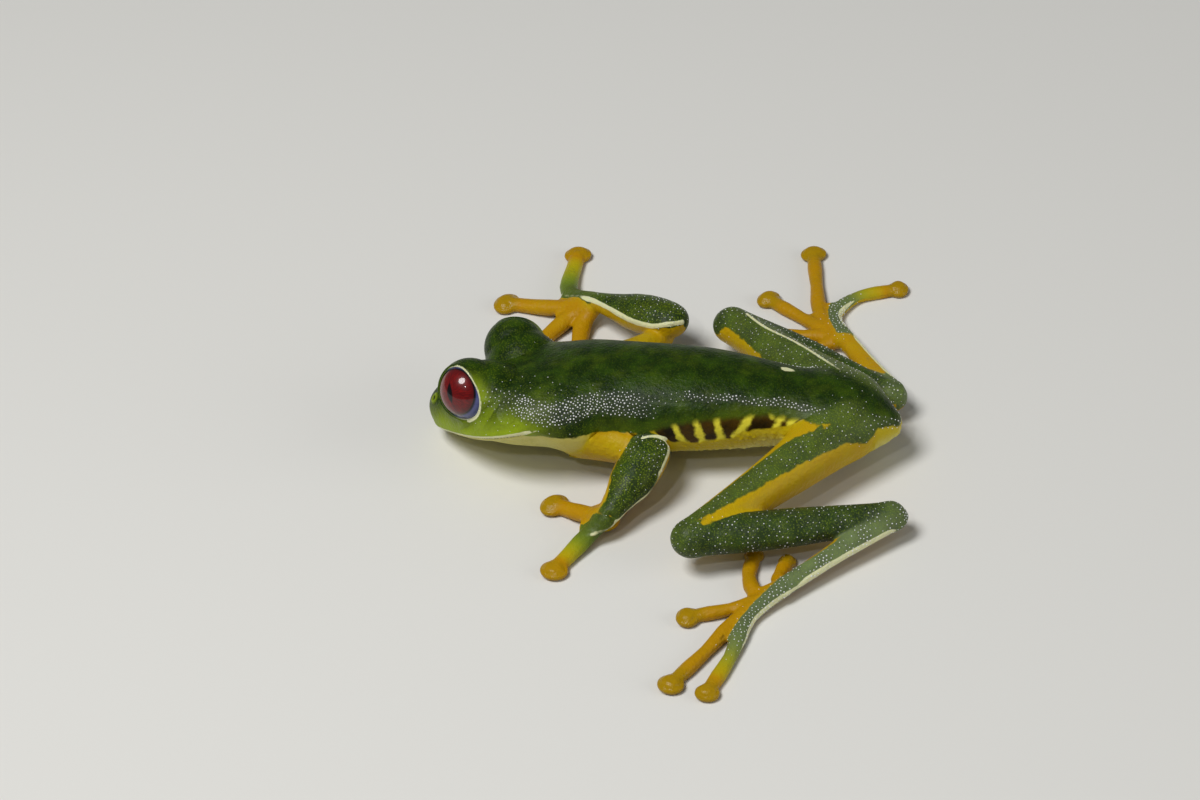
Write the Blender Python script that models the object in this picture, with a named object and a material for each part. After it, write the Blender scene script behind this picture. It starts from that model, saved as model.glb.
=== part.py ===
"""A red-eyed tree frog, life size, resting on a flat floor with its head to -X.

The body is lofted and tapered in frog coordinates (forward, left, up, in millimetres, from the
vent), closed into one skin, rested on flats at Z = 0, and then slit at its joints into named parts.
"""

from math import atan2, copysign, cos, radians, sin

import bmesh
import bpy
from mathutils import Matrix, Vector

# Driving dimensions, in millimetres.
MM = 0.001
SKIN_VOXEL = 0.24  # grid that closes the lofts into one skin
SKIN_TRIANGLES = 8300
PIECE_RATIO = 0.6  # share of a piece's triangles kept once it is cut
CRUMB = 0.9  # cubic millimetres; a smaller piece is an offcut
SLIT = 0.3  # gap left at each joint
RING_SIDES = 24
EYE_RADIUS = 3.2
LID_RADIUS = 3.75
EYE_GAP = 0.25
FOOT_SINK = 0.12  # how far the pads are pressed down before the floor cuts them flat

# The head's own frame: its base on the neck, and how it turns.
HEAD_BASE = Vector((34.3, 1.4, 9.8))
HEAD_YAW = radians(-9.0)  # to the frog's right
HEAD_PITCH = radians(19.5)  # nose down
HEAD_ROLL = radians(11.0)  # left side up
HEAD_TURN = (
    Matrix.Rotation(HEAD_YAW, 3, "Z")
    @ Matrix.Rotation(HEAD_PITCH, 3, "Y")
    @ Matrix.Rotation(HEAD_ROLL, 3, "X")
)
EYE_CENTRE = Vector((8.6, 5.2, 1.6))
EYE_AXIS = Vector((0.33, 0.9, 0.28)).normalized()
LID_DEPTH = 1.3  # how far the lid's centre lies inside the eye's
MOUTH_LEVEL = -3.2
NECK_PLANE = 1.0

# Trunk rings: forward, left, up, half width, rise, drop, roll in degrees.
TRUNK = (
    (-1.3, 0.0, 4.7, 0.9, 0.8, 0.8, 0),
    (0.2, 0.0, 4.9, 2.3, 1.9, 1.8, 0),
    (3.0, 0.0, 5.4, 3.8, 2.9, 2.8, 0),
    (6.5, 0.0, 5.9, 4.3, 3.4, 3.2, 1),
    (10.0, 0.0, 6.2, 4.5, 3.6, 3.4, 1),
    (15.0, 0.0, 6.4, 5.5, 4.3, 4.2, 2),
    (20.0, 0.1, 6.5, 6.3, 4.8, 4.7, 3),
    (25.0, 0.3, 6.5, 6.5, 5.1, 4.9, 4),
    (29.0, 0.5, 6.5, 6.5, 5.1, 4.9, 5),
    (32.5, 0.7, 6.6, 6.6, 4.8, 4.8, 7),
    (35.0, 0.9, 6.9, 6.7, 4.1, 4.6, 9),
)

# Head rings in the head's frame: forward, level of the widest line, half width, rise, drop.
HEAD = (
    (-5.5, -3.2, 4.8, 1.6, 3.4),
    (-2.5, -3.0, 6.6, 2.6, 4.4),
    (0.0, -2.8, 7.6, 3.2, 4.6),
    (3.0, -2.6, 8.3, 3.6, 4.3),
    (6.0, -2.4, 8.1, 3.7, 3.9),
    (9.0, -2.2, 7.2, 3.5, 3.5),
    (12.0, -2.0, 5.8, 3.1, 3.1),
    (14.3, -1.8, 4.5, 2.8, 2.7),
    (15.8, -1.7, 3.4, 2.4, 2.2),
    (16.6, -1.6, 2.5, 1.7, 1.6),
    (17.0, -1.6, 1.4, 0.9, 0.9),
)

# Each limb: side, +1 left or -1 right, and its joints.
SIDES = {"left": 1, "right": -1}
SHOULDER = {"left": (32.2, 5.6, 5.2), "right": (31.6, -5.0, 5.4)}
ELBOW = {"left": (23.4, 8.2, 5.0), "right": (26.9, -14.8, 5.2)}
WRIST = {"left": (26.8, 16.0, 2.9), "right": (36.6, -20.4, 2.9)}
HIP = {"left": (4.2, 2.4, 5.3), "right": (4.2, -2.4, 5.3)}
KNEE = {"left": (16.9, 20.4, 4.3), "right": (20.2, -16.2, 4.0)}
HEEL = {"left": (-2.5, 12.8, 2.8), "right": (0.9, -7.0, 2.8)}
ANKLE = {"left": (6.2, 23.0, 1.6), "right": (8.0, -17.8, 1.6)}  # where the foot starts

# Limb sizes along each segment: half width and half height.
UPPER_ARM_SIZES = ((1.9, 2.2), (1.5, 1.7), (1.7, 1.7))
FOREARM_SIZES = ((2.0, 1.8), (2.5, 2.1), (2.2, 1.8), (1.5, 1.2), (1.15, 0.9))
THIGH_SIZES = ((3.0, 3.0), (2.9, 2.9), (2.5, 2.5), (2.2, 2.1), (2.0, 1.9))
SHANK_SIZES = ((1.9, 1.8), (2.35, 1.95), (2.3, 1.85), (1.9, 1.65), (1.5, 1.5))
TARSUS_SIZES = ((1.5, 1.5), (1.25, 1.3), (1.15, 1.15), (1.2, 1.1))
FINGER_SIZES = ((0.9, 0.85), (0.85, 0.7), (0.85, 0.7))
TOE_SIZES = ((0.8, 0.75), (0.68, 0.62), (0.68, 0.62))
ELBOW_RADII = (2.0, 2.0, 1.8)
KNEE_RADII = (2.1, 2.1, 1.95)
HEEL_RADII = (1.65, 1.65, 1.6)
PALM_RADII = (2.0, 1.7, 0.85)
PALM_LEVEL = 0.95
PAD_HEIGHT = 0.66  # half the thickness of a disc
PAD_LENGTH = 0.86  # of its half width
WEB_RADII = (0.7, 0.42)  # along the digits, and half the web's thickness

# Digits: waypoints from the hand or foot to the pad's centre, inner digit first.
FINGERS = {
    "left": (
        ((26.4, 13.3, 1.1), (24.6, 10.0, 0.62)),
        ((27.6, 12.1, 1.2), (27.4, 6.7, 0.62)),
        ((29.9, 14.1, 1.2), (34.8, 12.0, 0.62)),
        ((28.9, 17.9, 1.2), (31.2, 22.8, 0.62)),
    ),
    "right": (
        ((37.8, -18.2, 1.2), (37.4, -13.7, 0.62)),
        ((39.8, -19.0, 1.2), (42.6, -14.0, 0.62)),
        ((41.6, -21.0, 1.2), (47.6, -21.9, 0.62)),
        ((40.8, -24.1, 1.2), (41.7, -31.8, 0.62)),
    ),
}
TOES = {
    "left": (
        ((7.6, 21.8, 0.9), (7.4, 18.6, 0.6)),
        ((9.2, 24.2, 0.9), (10.8, 21.6, 0.7), (11.0, 18.0, 0.55)),
        ((9.9, 26.0, 0.9), (15.8, 28.4, 0.6)),
        ((10.2, 27.6, 0.9), (12.8, 33.4, 0.7), (15.3, 38.6, 0.6)),
        ((9.4, 28.0, 0.9), (10.2, 34.0, 0.7), (11.4, 39.4, 0.6)),
    ),
    "right": (
        ((10.0, -17.8, 0.9), (13.6, -15.2, 0.6)),
        ((11.4, -19.2, 0.9), (17.0, -19.2, 0.6)),
        ((11.9, -21.0, 0.9), (18.3, -25.7, 0.6)),
        ((11.6, -22.5, 0.9), (13.4, -28.7, 0.7), (14.9, -34.6, 0.6)),
        ((10.2, -22.9, 0.9), (8.6, -26.8, 0.7), (4.2, -29.0, 0.6)),
    ),
}
FINGER_PAD = (1.1, 1.2, 1.55, 1.45)  # half widths of the discs
TOE_PAD = (0.9, 1.0, 1.3, 1.4, 1.3)
FINGER_FREE = (0.72, 0.62, 0.62, 0.62)  # where the free part starts, along the digit
TOE_FREE = (0.66, 0.64, 0.64, 0.64, 0.64)
FINGER_WEBS = ((0, 1, 0.45), (1, 2, 0.42), (2, 3, 0.42))  # two digits and the web's share of them
TOE_WEBS = ((1, 2, 0.4), (2, 3, 0.46), (3, 4, 0.5))
SHOULDER_SLIT = {  # middle of the cut, its reach along the flank and its half height
    "left": ((25.8, 7.1, 5.0), 6.0, 2.8),
    "right": ((30.6, -6.1, 5.0), 3.8, 6.0),
}
GROIN_SLIT = 5.3  # distance from the midline of the cut between the trunk and each thigh
WRIST_SLIT = 1.9  # level of the cut between the forearm and the hand folded under it

COLOURS = {
    "back": (0.035, 0.16, 0.015),
    "belly": (0.75, 0.62, 0.25),
    "limb": (0.04, 0.17, 0.02),
    "digit": (0.78, 0.36, 0.02),
    "eye": (0.32, 0.01, 0.01),
}


def superellipse(angle, power):
    """A point on a rounded-square outline of unit half width and height."""
    return tuple(copysign(abs(part) ** (2 / power), part) for part in (cos(angle), sin(angle)))


def add_ring(bm, centre, along, upward, half_width, rise, drop, power=2.0):
    """One closed ring of the loft, square to the direction it runs along."""
    side = upward.cross(along).normalized()
    top = along.cross(side).normalized()
    ring = bmesh.ops.create_circle(bm, segments=RING_SIDES, radius=1.0)["verts"]
    for vert in ring:
        across, height = superellipse(atan2(vert.co.y, vert.co.x), power)
        height *= rise if height > 0 else drop
        vert.co = centre + side * (across * half_width) + top * height
    return ring


def edges_of(ring):
    inside = set(ring)
    return [edge for edge in {e for v in ring for e in v.link_edges} if inside.issuperset(edge.verts)]


def skin_rings(bm, rings):
    """Bridges neighbouring rings and closes the two ends."""
    outlines = [edges_of(ring) for ring in rings]
    for first, second in zip(outlines, outlines[1:]):
        bmesh.ops.bridge_loops(bm, edges=first + second)
    for end in (outlines[0], outlines[-1]):
        bmesh.ops.contextual_create(bm, geom=end)


def curve_through(points, steps=5):
    """A smooth Catmull-Rom run through the points."""
    points = [Vector(p) for p in points]
    padded = [2 * points[0] - points[1], *points, 2 * points[-1] - points[-2]]
    run = []
    for a, b, c, d in zip(padded, padded[1:], padded[2:], padded[3:]):
        for step in range(steps):
            t = step / steps
            run.append(
                0.5 * (2 * b + (c - a) * t + (2 * a - 5 * b + 4 * c - d) * t**2)
                + 0.5 * (3 * b - a - 3 * c + d) * t**3
            )
    return [*run, points[-1]]


def add_tube(bm, points, sizes):
    """A tapered limb along the points; sizes are (half width, half height) spread evenly on it."""
    run = curve_through(points)
    upward = Vector((0, 0, 1))
    rings = []
    last = len(run) - 1
    for i, centre in enumerate(run):
        along = (run[min(i + 1, last)] - run[max(i - 1, 0)]).normalized()
        place = i / last * (len(sizes) - 1)
        index = min(int(place), len(sizes) - 2)
        mix = place - index
        width, height = (a + (b - a) * mix for a, b in zip(sizes[index], sizes[index + 1]))
        rings.append(add_ring(bm, centre, along, upward, width, height, height))
    skin_rings(bm, rings)


def add_blob(bm, centre, radii, turn=None):
    """A rounded lump, such as a knee, a palm or a pad."""
    place = Matrix.Translation(centre) @ (turn or Matrix.Identity(4)) @ Matrix.Diagonal((*radii, 1))
    bmesh.ops.create_uvsphere(bm, u_segments=24, v_segments=14, radius=1.0, matrix=place)


def facing(direction):
    """Turns X to a level direction."""
    return Matrix.Rotation(atan2(direction.y, direction.x), 4, "Z")


def add_pad(bm, points, half_width):
    """The wide adhesive disc on a digit's tip."""
    direction = Vector(points[-1]) - Vector(points[-2])
    radii = (half_width * PAD_LENGTH, half_width, PAD_HEIGHT)
    add_blob(bm, Vector(points[-1]), radii, facing(direction))


def along_curve(points, distance):
    """The point and the direction at a distance along the digit's curve."""
    run = curve_through(points)
    for a, b in zip(run, run[1:]):
        step = (b - a).length
        if distance <= step or b is run[-1]:
            return a + (b - a) * (distance / step), (b - a).normalized()
        distance -= step


def length_of(points):
    run = curve_through(points)
    return sum((b - a).length for a, b in zip(run, run[1:]))


def add_web(bm, first, second, reach):
    """A thin web between two neighbouring digits, out to a share of the shorter one's length."""
    span = reach * min(length_of(first), length_of(second))
    steps = 7
    for i in range(1, steps + 1):
        a, b = (along_curve(points, span * i / steps)[0] for points in (first, second))
        across = facing((b - a).cross(Vector((0, 0, 1))))
        radii = (WEB_RADII[0], (b - a).length / 2 + 0.2, WEB_RADII[1])
        add_blob(bm, (a + b) / 2, radii, across)


def to_body(point):
    """From the head's frame to the body's."""
    return HEAD_BASE + HEAD_TURN @ Vector(point)


def mirrored(vector, side):
    return Vector((vector[0], vector[1] * side, vector[2]))


def add_trunk(bm):
    upward = Vector((0, 0, 1))
    rings = []
    for forward, left, up, half_width, rise, drop, roll in TRUNK:
        tilted = Matrix.Rotation(radians(roll), 3, "X") @ upward
        centre = Vector((forward, left, up))
        rings.append(add_ring(bm, centre, Vector((1, 0, 0)), tilted, half_width, rise, drop, 2.2))
    skin_rings(bm, rings)


def add_head(bm):
    along = HEAD_TURN @ Vector((1, 0, 0))
    upward = HEAD_TURN @ Vector((0, 0, 1))
    rings = []
    for forward, level, half_width, rise, drop in HEAD:
        centre = to_body((forward, 0, level))
        rings.append(add_ring(bm, centre, along, upward, half_width, rise, drop, 2.35))
    skin_rings(bm, rings)
    for side in SIDES.values():
        lid = mirrored(EYE_CENTRE - EYE_AXIS * LID_DEPTH, side)
        add_blob(bm, to_body(lid), (LID_RADIUS,) * 3)


def palm_centre(side):
    points = [WRIST[side], *(finger[0] for finger in FINGERS[side])]
    middle = sum((Vector(point) for point in points), Vector()) / len(points)
    return Vector((middle.x, middle.y, PALM_LEVEL))


def add_arm(bm, side):
    shoulder, elbow, wrist = (Vector(place[side]) for place in (SHOULDER, ELBOW, WRIST))
    add_tube(bm, (shoulder, elbow), UPPER_ARM_SIZES)
    add_tube(bm, (elbow, wrist), FOREARM_SIZES)
    add_blob(bm, elbow, ELBOW_RADII)
    add_blob(bm, palm_centre(side), PALM_RADII)


def add_digits(bm, start, digits, pads, sizes):
    """All digits of a hand or foot, each a tapered tube that ends in a disc."""
    for points, half_width in zip(digits, pads):
        add_tube(bm, (start, *points), sizes)
        add_pad(bm, (start, *points), half_width)


def add_leg(bm, side):
    hip, knee, heel, ankle = (Vector(place[side]) for place in (HIP, KNEE, HEEL, ANKLE))
    add_tube(bm, (hip, knee), THIGH_SIZES)
    add_tube(bm, (knee, heel), SHANK_SIZES)
    add_tube(bm, (heel, ankle), TARSUS_SIZES)
    add_blob(bm, knee, KNEE_RADII)
    add_blob(bm, heel, HEEL_RADII)


def build_body():
    """The whole frog without its eyes, as overlapping closed lofts."""
    bm = bmesh.new()
    add_trunk(bm)
    add_head(bm)
    for side in SIDES:
        add_arm(bm, side)
        add_leg(bm, side)
        wrist, ankle = Vector(WRIST[side]), Vector(ANKLE[side])
        add_digits(bm, wrist, FINGERS[side], FINGER_PAD, FINGER_SIZES)
        add_digits(bm, ankle, TOES[side], TOE_PAD, TOE_SIZES)
        for start, digits, webs in ((wrist, FINGERS, FINGER_WEBS), (ankle, TOES, TOE_WEBS)):
            for first, second, reach in webs:
                add_web(bm, (start, *digits[side][first]), (start, *digits[side][second]), reach)
    bmesh.ops.recalc_face_normals(bm, faces=bm.faces)
    return bm


def object_from(name, bm):
    mesh = bpy.data.meshes.new(name)
    bm.to_mesh(mesh)
    bm.free()
    obj = bpy.data.objects.new(name, mesh)
    bpy.context.scene.collection.objects.link(obj)
    return obj


def applied(obj):
    """Replaces the object's mesh by what its modifiers make of it."""
    bpy.context.view_layer.update()
    graph = bpy.context.evaluated_depsgraph_get()
    mesh = bpy.data.meshes.new_from_object(obj.evaluated_get(graph))
    obj.modifiers.clear()
    obj.data = mesh
    return obj


def close_skin(obj):
    """One closed surface from the overlapping lofts, softened where limbs meet the body."""
    remesh = obj.modifiers.new("Skin", "REMESH")
    remesh.mode = "VOXEL"
    remesh.voxel_size = SKIN_VOXEL
    soften = obj.modifiers.new("Soften", "SMOOTH")
    soften.factor = 0.5
    soften.iterations = 5
    applied(obj)
    thin(obj, SKIN_TRIANGLES / (2 * len(obj.data.polygons)))


def rest_on_floor(obj):
    """Cuts the pads, palms and soles flat at Z = 0."""
    bm = bmesh.new()
    bm.from_mesh(obj.data)
    bmesh.ops.translate(bm, verts=bm.verts, vec=(0, 0, -FOOT_SINK))
    cut = bmesh.ops.bisect_plane(
        bm, geom=bm.verts[:] + bm.edges[:] + bm.faces[:], plane_no=(0, 0, 1), clear_inner=True
    )
    rims = [item for item in cut["geom_cut"] if isinstance(item, bmesh.types.BMEdge)]
    bmesh.ops.holes_fill(bm, edges=rims)
    bmesh.ops.recalc_face_normals(bm, faces=bm.faces)
    bm.to_mesh(obj.data)
    bm.free()


def cutter(name, bm):
    obj = object_from(name, bm)
    obj.hide_render = True
    obj.display_type = "WIRE"
    return obj


def slit(name, centre, normal, reach, toward=None, across=3.6):
    """A thin slab square to the normal; toward is the direction its reach runs in."""
    normal = Vector(normal).normalized()
    run = Vector(toward if toward is not None else normal.orthogonal())
    run = (run - normal * run.dot(normal)).normalized()
    turn = Matrix((normal, run, normal.cross(run))).transposed().to_4x4()
    sizes = Matrix.Diagonal((SLIT, 2 * reach, 2 * across, 1))
    bm = bmesh.new()
    bmesh.ops.create_cube(bm, size=1.0, matrix=Matrix.Translation(centre) @ turn @ sizes)
    return cutter(name, bm)


def mitre(name, first, joint, second, reach, shift=0.0, across=3.6):
    """The slit between two limb segments, halving the angle in which they meet."""
    first, joint, second = (Vector(p) for p in (first, joint, second))
    one, two = (first - joint).normalized(), (second - joint).normalized()
    inward = one + two
    if inward.length < 0.2:
        inward = one.cross(Vector((0, 0, 1)))
    inward.normalize()
    return slit(name, joint + inward * shift, one - two, reach, inward, across)


def digit_slit(name, points, share):
    centre, along = along_curve(points, share * length_of(points))
    return slit(name, centre, along, 1.5, along.cross(Vector((0, 0, 1))), 1.6)


def make_slits():
    """Every cut between two named parts."""
    head_forward = HEAD_TURN @ Vector((1, 0, 0))
    head_up = HEAD_TURN @ Vector((0, 0, 1))
    cuts = [
        slit("cut_neck", to_body((NECK_PLANE, 0, -2.5)), head_forward, 8.0, head_up, 12.0),
        slit("cut_mouth", to_body((NECK_PLANE + 9.5, 0, MOUTH_LEVEL)), head_up, 9.5, head_forward, 12.0),
    ]
    for side, sign in SIDES.items():
        shoulder, elbow, wrist = (Vector(place[side]) for place in (SHOULDER, ELBOW, WRIST))
        hip, knee, heel, ankle = (Vector(place[side]) for place in (HIP, KNEE, HEEL, ANKLE))
        outward = Vector((0, sign, 0))
        forward = Vector((1, 0, 0))
        flank, reach, height = SHOULDER_SLIT[side]
        cuts.append(slit(f"cut_shoulder_{side}", flank, outward, reach, forward, height))
        if side == "left":  # this arm lies along the flank, so it is cut off in front and above too
            beside = Vector(flank) + Vector((0, 2.0, 0))
            root = beside + Vector((reach, 0, 0))
            cuts.append(slit("cut_shoulder_root", root, forward, 2.3, outward, height))
            top = beside + Vector((0, 0, height))
            cuts.append(slit("cut_shoulder_top", top, (0, 0, 1), 2.3, outward, reach))
        cuts.append(mitre(f"cut_elbow_{side}", shoulder, elbow, wrist, 3.4, 0.4))
        fold = (wrist + palm_centre(side)) / 2
        cuts.append(slit(f"cut_wrist_{side}", (fold.x, fold.y, WRIST_SLIT), (0, 0, 1), 4.0, forward, 4.0))
        groin = hip + (knee - hip) * (GROIN_SLIT - abs(hip.y)) / abs(knee.y - hip.y)
        cuts.append(slit(f"cut_hip_{side}", groin, outward, 5.5, forward, 4.5))
        cuts.append(mitre(f"cut_knee_{side}", hip, knee, heel, 12.0, 9.0))
        cuts.append(mitre(f"cut_heel_{side}", knee, heel, ankle, 6.5, 4.0, 3.0))
        instep = ankle.lerp(heel, 0.12)
        cuts.append(slit(f"cut_ankle_{side}", instep, ankle - heel, 2.2, (0, 0, 1), 2.2))
        for i, points in enumerate(FINGERS[side]):
            cuts.append(digit_slit(f"cut_finger_{side}_{i + 1}", (wrist, *points), FINGER_FREE[i]))
        for i, points in enumerate(TOES[side]):
            cuts.append(digit_slit(f"cut_toe_{side}_{i + 1}", (ankle, *points), TOE_FREE[i]))
        socket = bmesh.new()
        centre = to_body(mirrored(EYE_CENTRE, sign))
        add_blob(socket, centre, (EYE_RADIUS + EYE_GAP,) * 3)
        cuts.append(cutter(f"cut_socket_{side}", socket))
    return cuts


def landmarks():
    """The middle of each named part, by which a cut piece is known."""
    marks = {
        "head": to_body((9, 0, -0.8)),
        "jaw": to_body((7, 0, -5)),
        "trunk": Vector((18, 0, 6.5)),
    }
    for side in SIDES:
        joints = {
            "upper_arm": (SHOULDER, ELBOW),
            "forearm": (ELBOW, WRIST),
            "thigh": (HIP, KNEE),
            "shank": (KNEE, HEEL),
            "tarsus": (HEEL, ANKLE),
        }
        for name, (first, second) in joints.items():
            marks[f"{name}_{side}"] = (Vector(first[side]) + Vector(second[side])) / 2
        for name, start, digits in (("hand", WRIST, FINGERS), ("foot", ANKLE, TOES)):
            bases = [Vector(points[0]) for points in digits[side]]
            marks[f"{name}_{side}"] = (Vector(start[side]) + sum(bases, Vector())) / (1 + len(bases))
        for name, digits in (("finger", FINGERS), ("toe", TOES)):
            for i, points in enumerate(digits[side]):
                marks[f"{name}_{side}_{i + 1}"] = Vector(points[-1])
    return marks


def split_pieces(obj):
    """The separate closed pieces of the slit body, each as an object."""
    bpy.context.view_layer.objects.active = obj
    obj.select_set(True)
    bpy.ops.mesh.separate(type="LOOSE")
    return list(bpy.context.selected_objects)


def centre_and_volume(obj):
    bm = bmesh.new()
    bm.from_mesh(obj.data)
    faces = [(face.calc_area(), face.calc_center_median()) for face in bm.faces]
    area = sum(part for part, _ in faces)
    middle = sum((centre * part for part, centre in faces), Vector()) / area
    volume = bm.calc_volume()
    bm.free()
    return middle, volume


def name_pieces(pieces):
    """Names each piece by the nearest landmark, the biggest piece first, and drops the crumbs."""
    marks = landmarks()
    measured = sorted(((*centre_and_volume(piece), piece) for piece in pieces), key=lambda row: -row[1])
    parts = []
    for middle, volume, piece in measured:
        if volume < CRUMB:
            bpy.data.objects.remove(piece)
            continue
        piece.name = min(marks, key=lambda key: (marks[key] - middle).length)
        del marks[piece.name]
        parts.append(piece)
    return parts


def thin(obj, ratio):
    """Fewer triangles, most of them taken where the surface is flat."""
    decimate = obj.modifiers.new("Thin", "DECIMATE")
    decimate.ratio = ratio
    applied(obj)


def material(name, colour, roughness=0.4):
    shade = bpy.data.materials.new(name)
    shade.use_nodes = True
    surface = shade.node_tree.nodes["Principled BSDF"]
    surface.inputs["Base Color"].default_value = (*colour, 1)
    surface.inputs["Roughness"].default_value = roughness
    surface.inputs["Metallic"].default_value = 0.0
    return shade


def colour_of(name):
    if name.startswith("eye"):
        return COLOURS["eye"], 0.08
    if name.startswith(("finger", "toe", "hand", "foot", "upper_arm")):
        return COLOURS["digit"], 0.35
    if name == "jaw":
        return COLOURS["belly"], 0.4
    return COLOURS["back" if name in ("head", "trunk") else "limb"], 0.4


def finish(obj):
    """From frog coordinates to the world: metres, head to -X, left side to -Y."""
    obj.data.transform(Matrix.Diagonal((-MM, -MM, MM, 1)))
    obj.data.shade_smooth()
    obj.data.set_sharp_from_angle(angle=radians(40))
    obj.data.materials.append(material(obj.name, *colour_of(obj.name)))


def centre_on_floor(objects):
    """Moves the frog so that the middle of its box's base is the origin."""
    corners = [vert.co for obj in objects for vert in obj.data.vertices]
    shift = Vector((
        -(min(c.x for c in corners) + max(c.x for c in corners)) / 2,
        -(min(c.y for c in corners) + max(c.y for c in corners)) / 2,
        0,
    ))
    for obj in objects:
        obj.data.transform(Matrix.Translation(shift))


def clear_scene():
    for obj in list(bpy.data.objects):
        bpy.data.objects.remove(obj)


def build():
    clear_scene()
    body = object_from("body", build_body())
    close_skin(body)
    cuts = make_slits()
    for cut in cuts:
        boolean = body.modifiers.new(cut.name, "BOOLEAN")
        boolean.object = cut
        boolean.operation = "DIFFERENCE"
        boolean.solver = "MANIFOLD"  # the exact solver loses the far side of this closed skin
    applied(body)
    parts = name_pieces(split_pieces(body))
    for part in parts:
        thin(part, PIECE_RATIO)
        rest_on_floor(part)
    for side, sign in SIDES.items():
        ball = bmesh.new()
        centre = to_body(mirrored(EYE_CENTRE, sign)) - Vector((0, 0, FOOT_SINK))
        add_blob(ball, centre, (EYE_RADIUS,) * 3)
        parts.append(object_from(f"eye_{side}", ball))
    for part in parts:
        finish(part)
    centre_on_floor(parts)


build()
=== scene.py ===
"""A red-eyed tree frog as a finished still model, life size.

One moist skin replaces the solids of flesh, with lids, lips, folds and markings. The two eyes are
pieces of their own. The frog rests on a plain pale floor in soft light.
"""

from math import atan2, copysign, cos, pi, radians, sin

import bmesh
import bpy
import numpy as np
from mathutils import Matrix, Vector, noise


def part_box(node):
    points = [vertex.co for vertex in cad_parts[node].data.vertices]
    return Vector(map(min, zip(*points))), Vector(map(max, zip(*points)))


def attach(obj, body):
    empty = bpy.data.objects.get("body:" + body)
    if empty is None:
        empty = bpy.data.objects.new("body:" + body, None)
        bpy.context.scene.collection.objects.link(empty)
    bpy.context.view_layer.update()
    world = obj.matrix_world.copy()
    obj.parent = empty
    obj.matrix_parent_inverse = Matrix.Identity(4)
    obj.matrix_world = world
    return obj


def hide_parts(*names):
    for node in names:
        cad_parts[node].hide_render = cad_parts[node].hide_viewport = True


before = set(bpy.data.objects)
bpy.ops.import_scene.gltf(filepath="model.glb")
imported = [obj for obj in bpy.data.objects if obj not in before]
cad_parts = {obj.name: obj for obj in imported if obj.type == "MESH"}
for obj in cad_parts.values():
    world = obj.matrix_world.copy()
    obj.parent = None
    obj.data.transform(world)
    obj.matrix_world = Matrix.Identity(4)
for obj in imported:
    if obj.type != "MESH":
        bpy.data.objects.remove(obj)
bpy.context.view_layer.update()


# The trunk. A slim male's body, smooth along the back and slack along the flanks, lofted from the
# vent to the neck. Every size here is in millimetres in the frog's own frame, which runs forward
# from the vent, to the frog's left, and up from the floor.
# Each ring: forward, left, up, half width, rise, drop, roll in degrees.
TRUNK = (
    (-1.3, 0.0, 4.7, 0.9, 0.8, 0.8, 0),
    (0.2, 0.0, 4.9, 2.3, 1.9, 1.8, 0),
    (3.0, 0.0, 5.4, 3.8, 2.9, 2.8, 0),
    (6.5, 0.0, 5.9, 4.3, 3.4, 3.2, 1),
    (10.0, 0.0, 6.2, 4.5, 3.6, 3.4, 1),
    (15.0, 0.0, 6.4, 5.5, 4.3, 4.2, 2),
    (20.0, 0.1, 6.5, 6.3, 4.8, 4.7, 3),
    (25.0, 0.3, 6.5, 6.5, 5.1, 4.9, 4),
    (29.0, 0.5, 6.5, 6.5, 5.1, 4.9, 5),
    (32.5, 0.7, 6.6, 6.6, 4.8, 4.8, 7),
    (35.0, 0.9, 6.9, 6.7, 4.0, 4.6, 9),
    (37.5, 1.1, 6.9, 6.6, 3.3, 4.4, 10),
    (40.0, 1.2, 6.7, 6.0, 2.5, 3.6, 10),
    (42.0, 1.2, 6.4, 4.6, 1.8, 2.6, 10),
)
TRUNK_POWER = 2.2
RING_SIDES = 48
UP = Vector((0, 0, 1))


def curve_through(points, steps=6):
    """A smooth Catmull-Rom run through points, or through the rows of a table."""
    rows = [np.array(point, float) for point in points]
    padded = [2 * rows[0] - rows[1], *rows, 2 * rows[-1] - rows[-2]]
    run = []
    for a, b, c, d in zip(padded, padded[1:], padded[2:], padded[3:]):
        for t in np.arange(steps) / steps:
            run.append(
                0.5 * (2 * b + (c - a) * t + (2 * a - 5 * b + 4 * c - d) * t**2)
                + 0.5 * (3 * b - a - 3 * c + d) * t**3
            )
    return np.array([*run, rows[-1]])


def add_ring(bm, centre, along, upward, half_width, rise, drop, power=2.0):
    """One closed ring of a loft, a rounded outline square to the direction it runs along."""
    side = upward.cross(along).normalized()
    top = along.cross(side).normalized()
    ring = bmesh.ops.create_circle(bm, segments=RING_SIDES, radius=1.0)["verts"]
    for vert in ring:
        across, height = (copysign(abs(part) ** (2 / power), part) for part in vert.co.xy)
        height *= rise if height > 0 else drop
        vert.co = centre + side * (across * half_width) + top * height
    return ring


def edges_of(ring):
    inside = set(ring)
    return [edge for edge in {e for v in ring for e in v.link_edges} if inside.issuperset(edge.verts)]


def skin_rings(bm, rings):
    """Bridges neighbouring rings and closes the two ends."""
    outlines = [edges_of(ring) for ring in rings]
    for first, second in zip(outlines, outlines[1:]):
        bmesh.ops.bridge_loops(bm, edges=first + second)
    for end in (outlines[0], outlines[-1]):
        bmesh.ops.contextual_create(bm, geom=end)


flesh = []  # every length and lump of it, each a closed mesh


def keep(bm):
    """Adds a finished lump to the flesh."""
    bmesh.ops.recalc_face_normals(bm, faces=bm.faces)
    mesh = bpy.data.meshes.new("flesh")
    bm.to_mesh(mesh)
    bm.free()
    flesh.append(mesh)


trunk = bmesh.new()
rings = []
for forward, left, up, half_width, rise, drop, roll in curve_through(TRUNK, 5):
    tilted = Matrix.Rotation(radians(roll), 3, "X") @ UP
    centre = Vector((forward, left, up))
    rings.append(add_ring(trunk, centre, Vector((1, 0, 0)), tilted, half_width, rise, drop, TRUNK_POWER))
skin_rings(trunk, rings)
keep(trunk)


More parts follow.
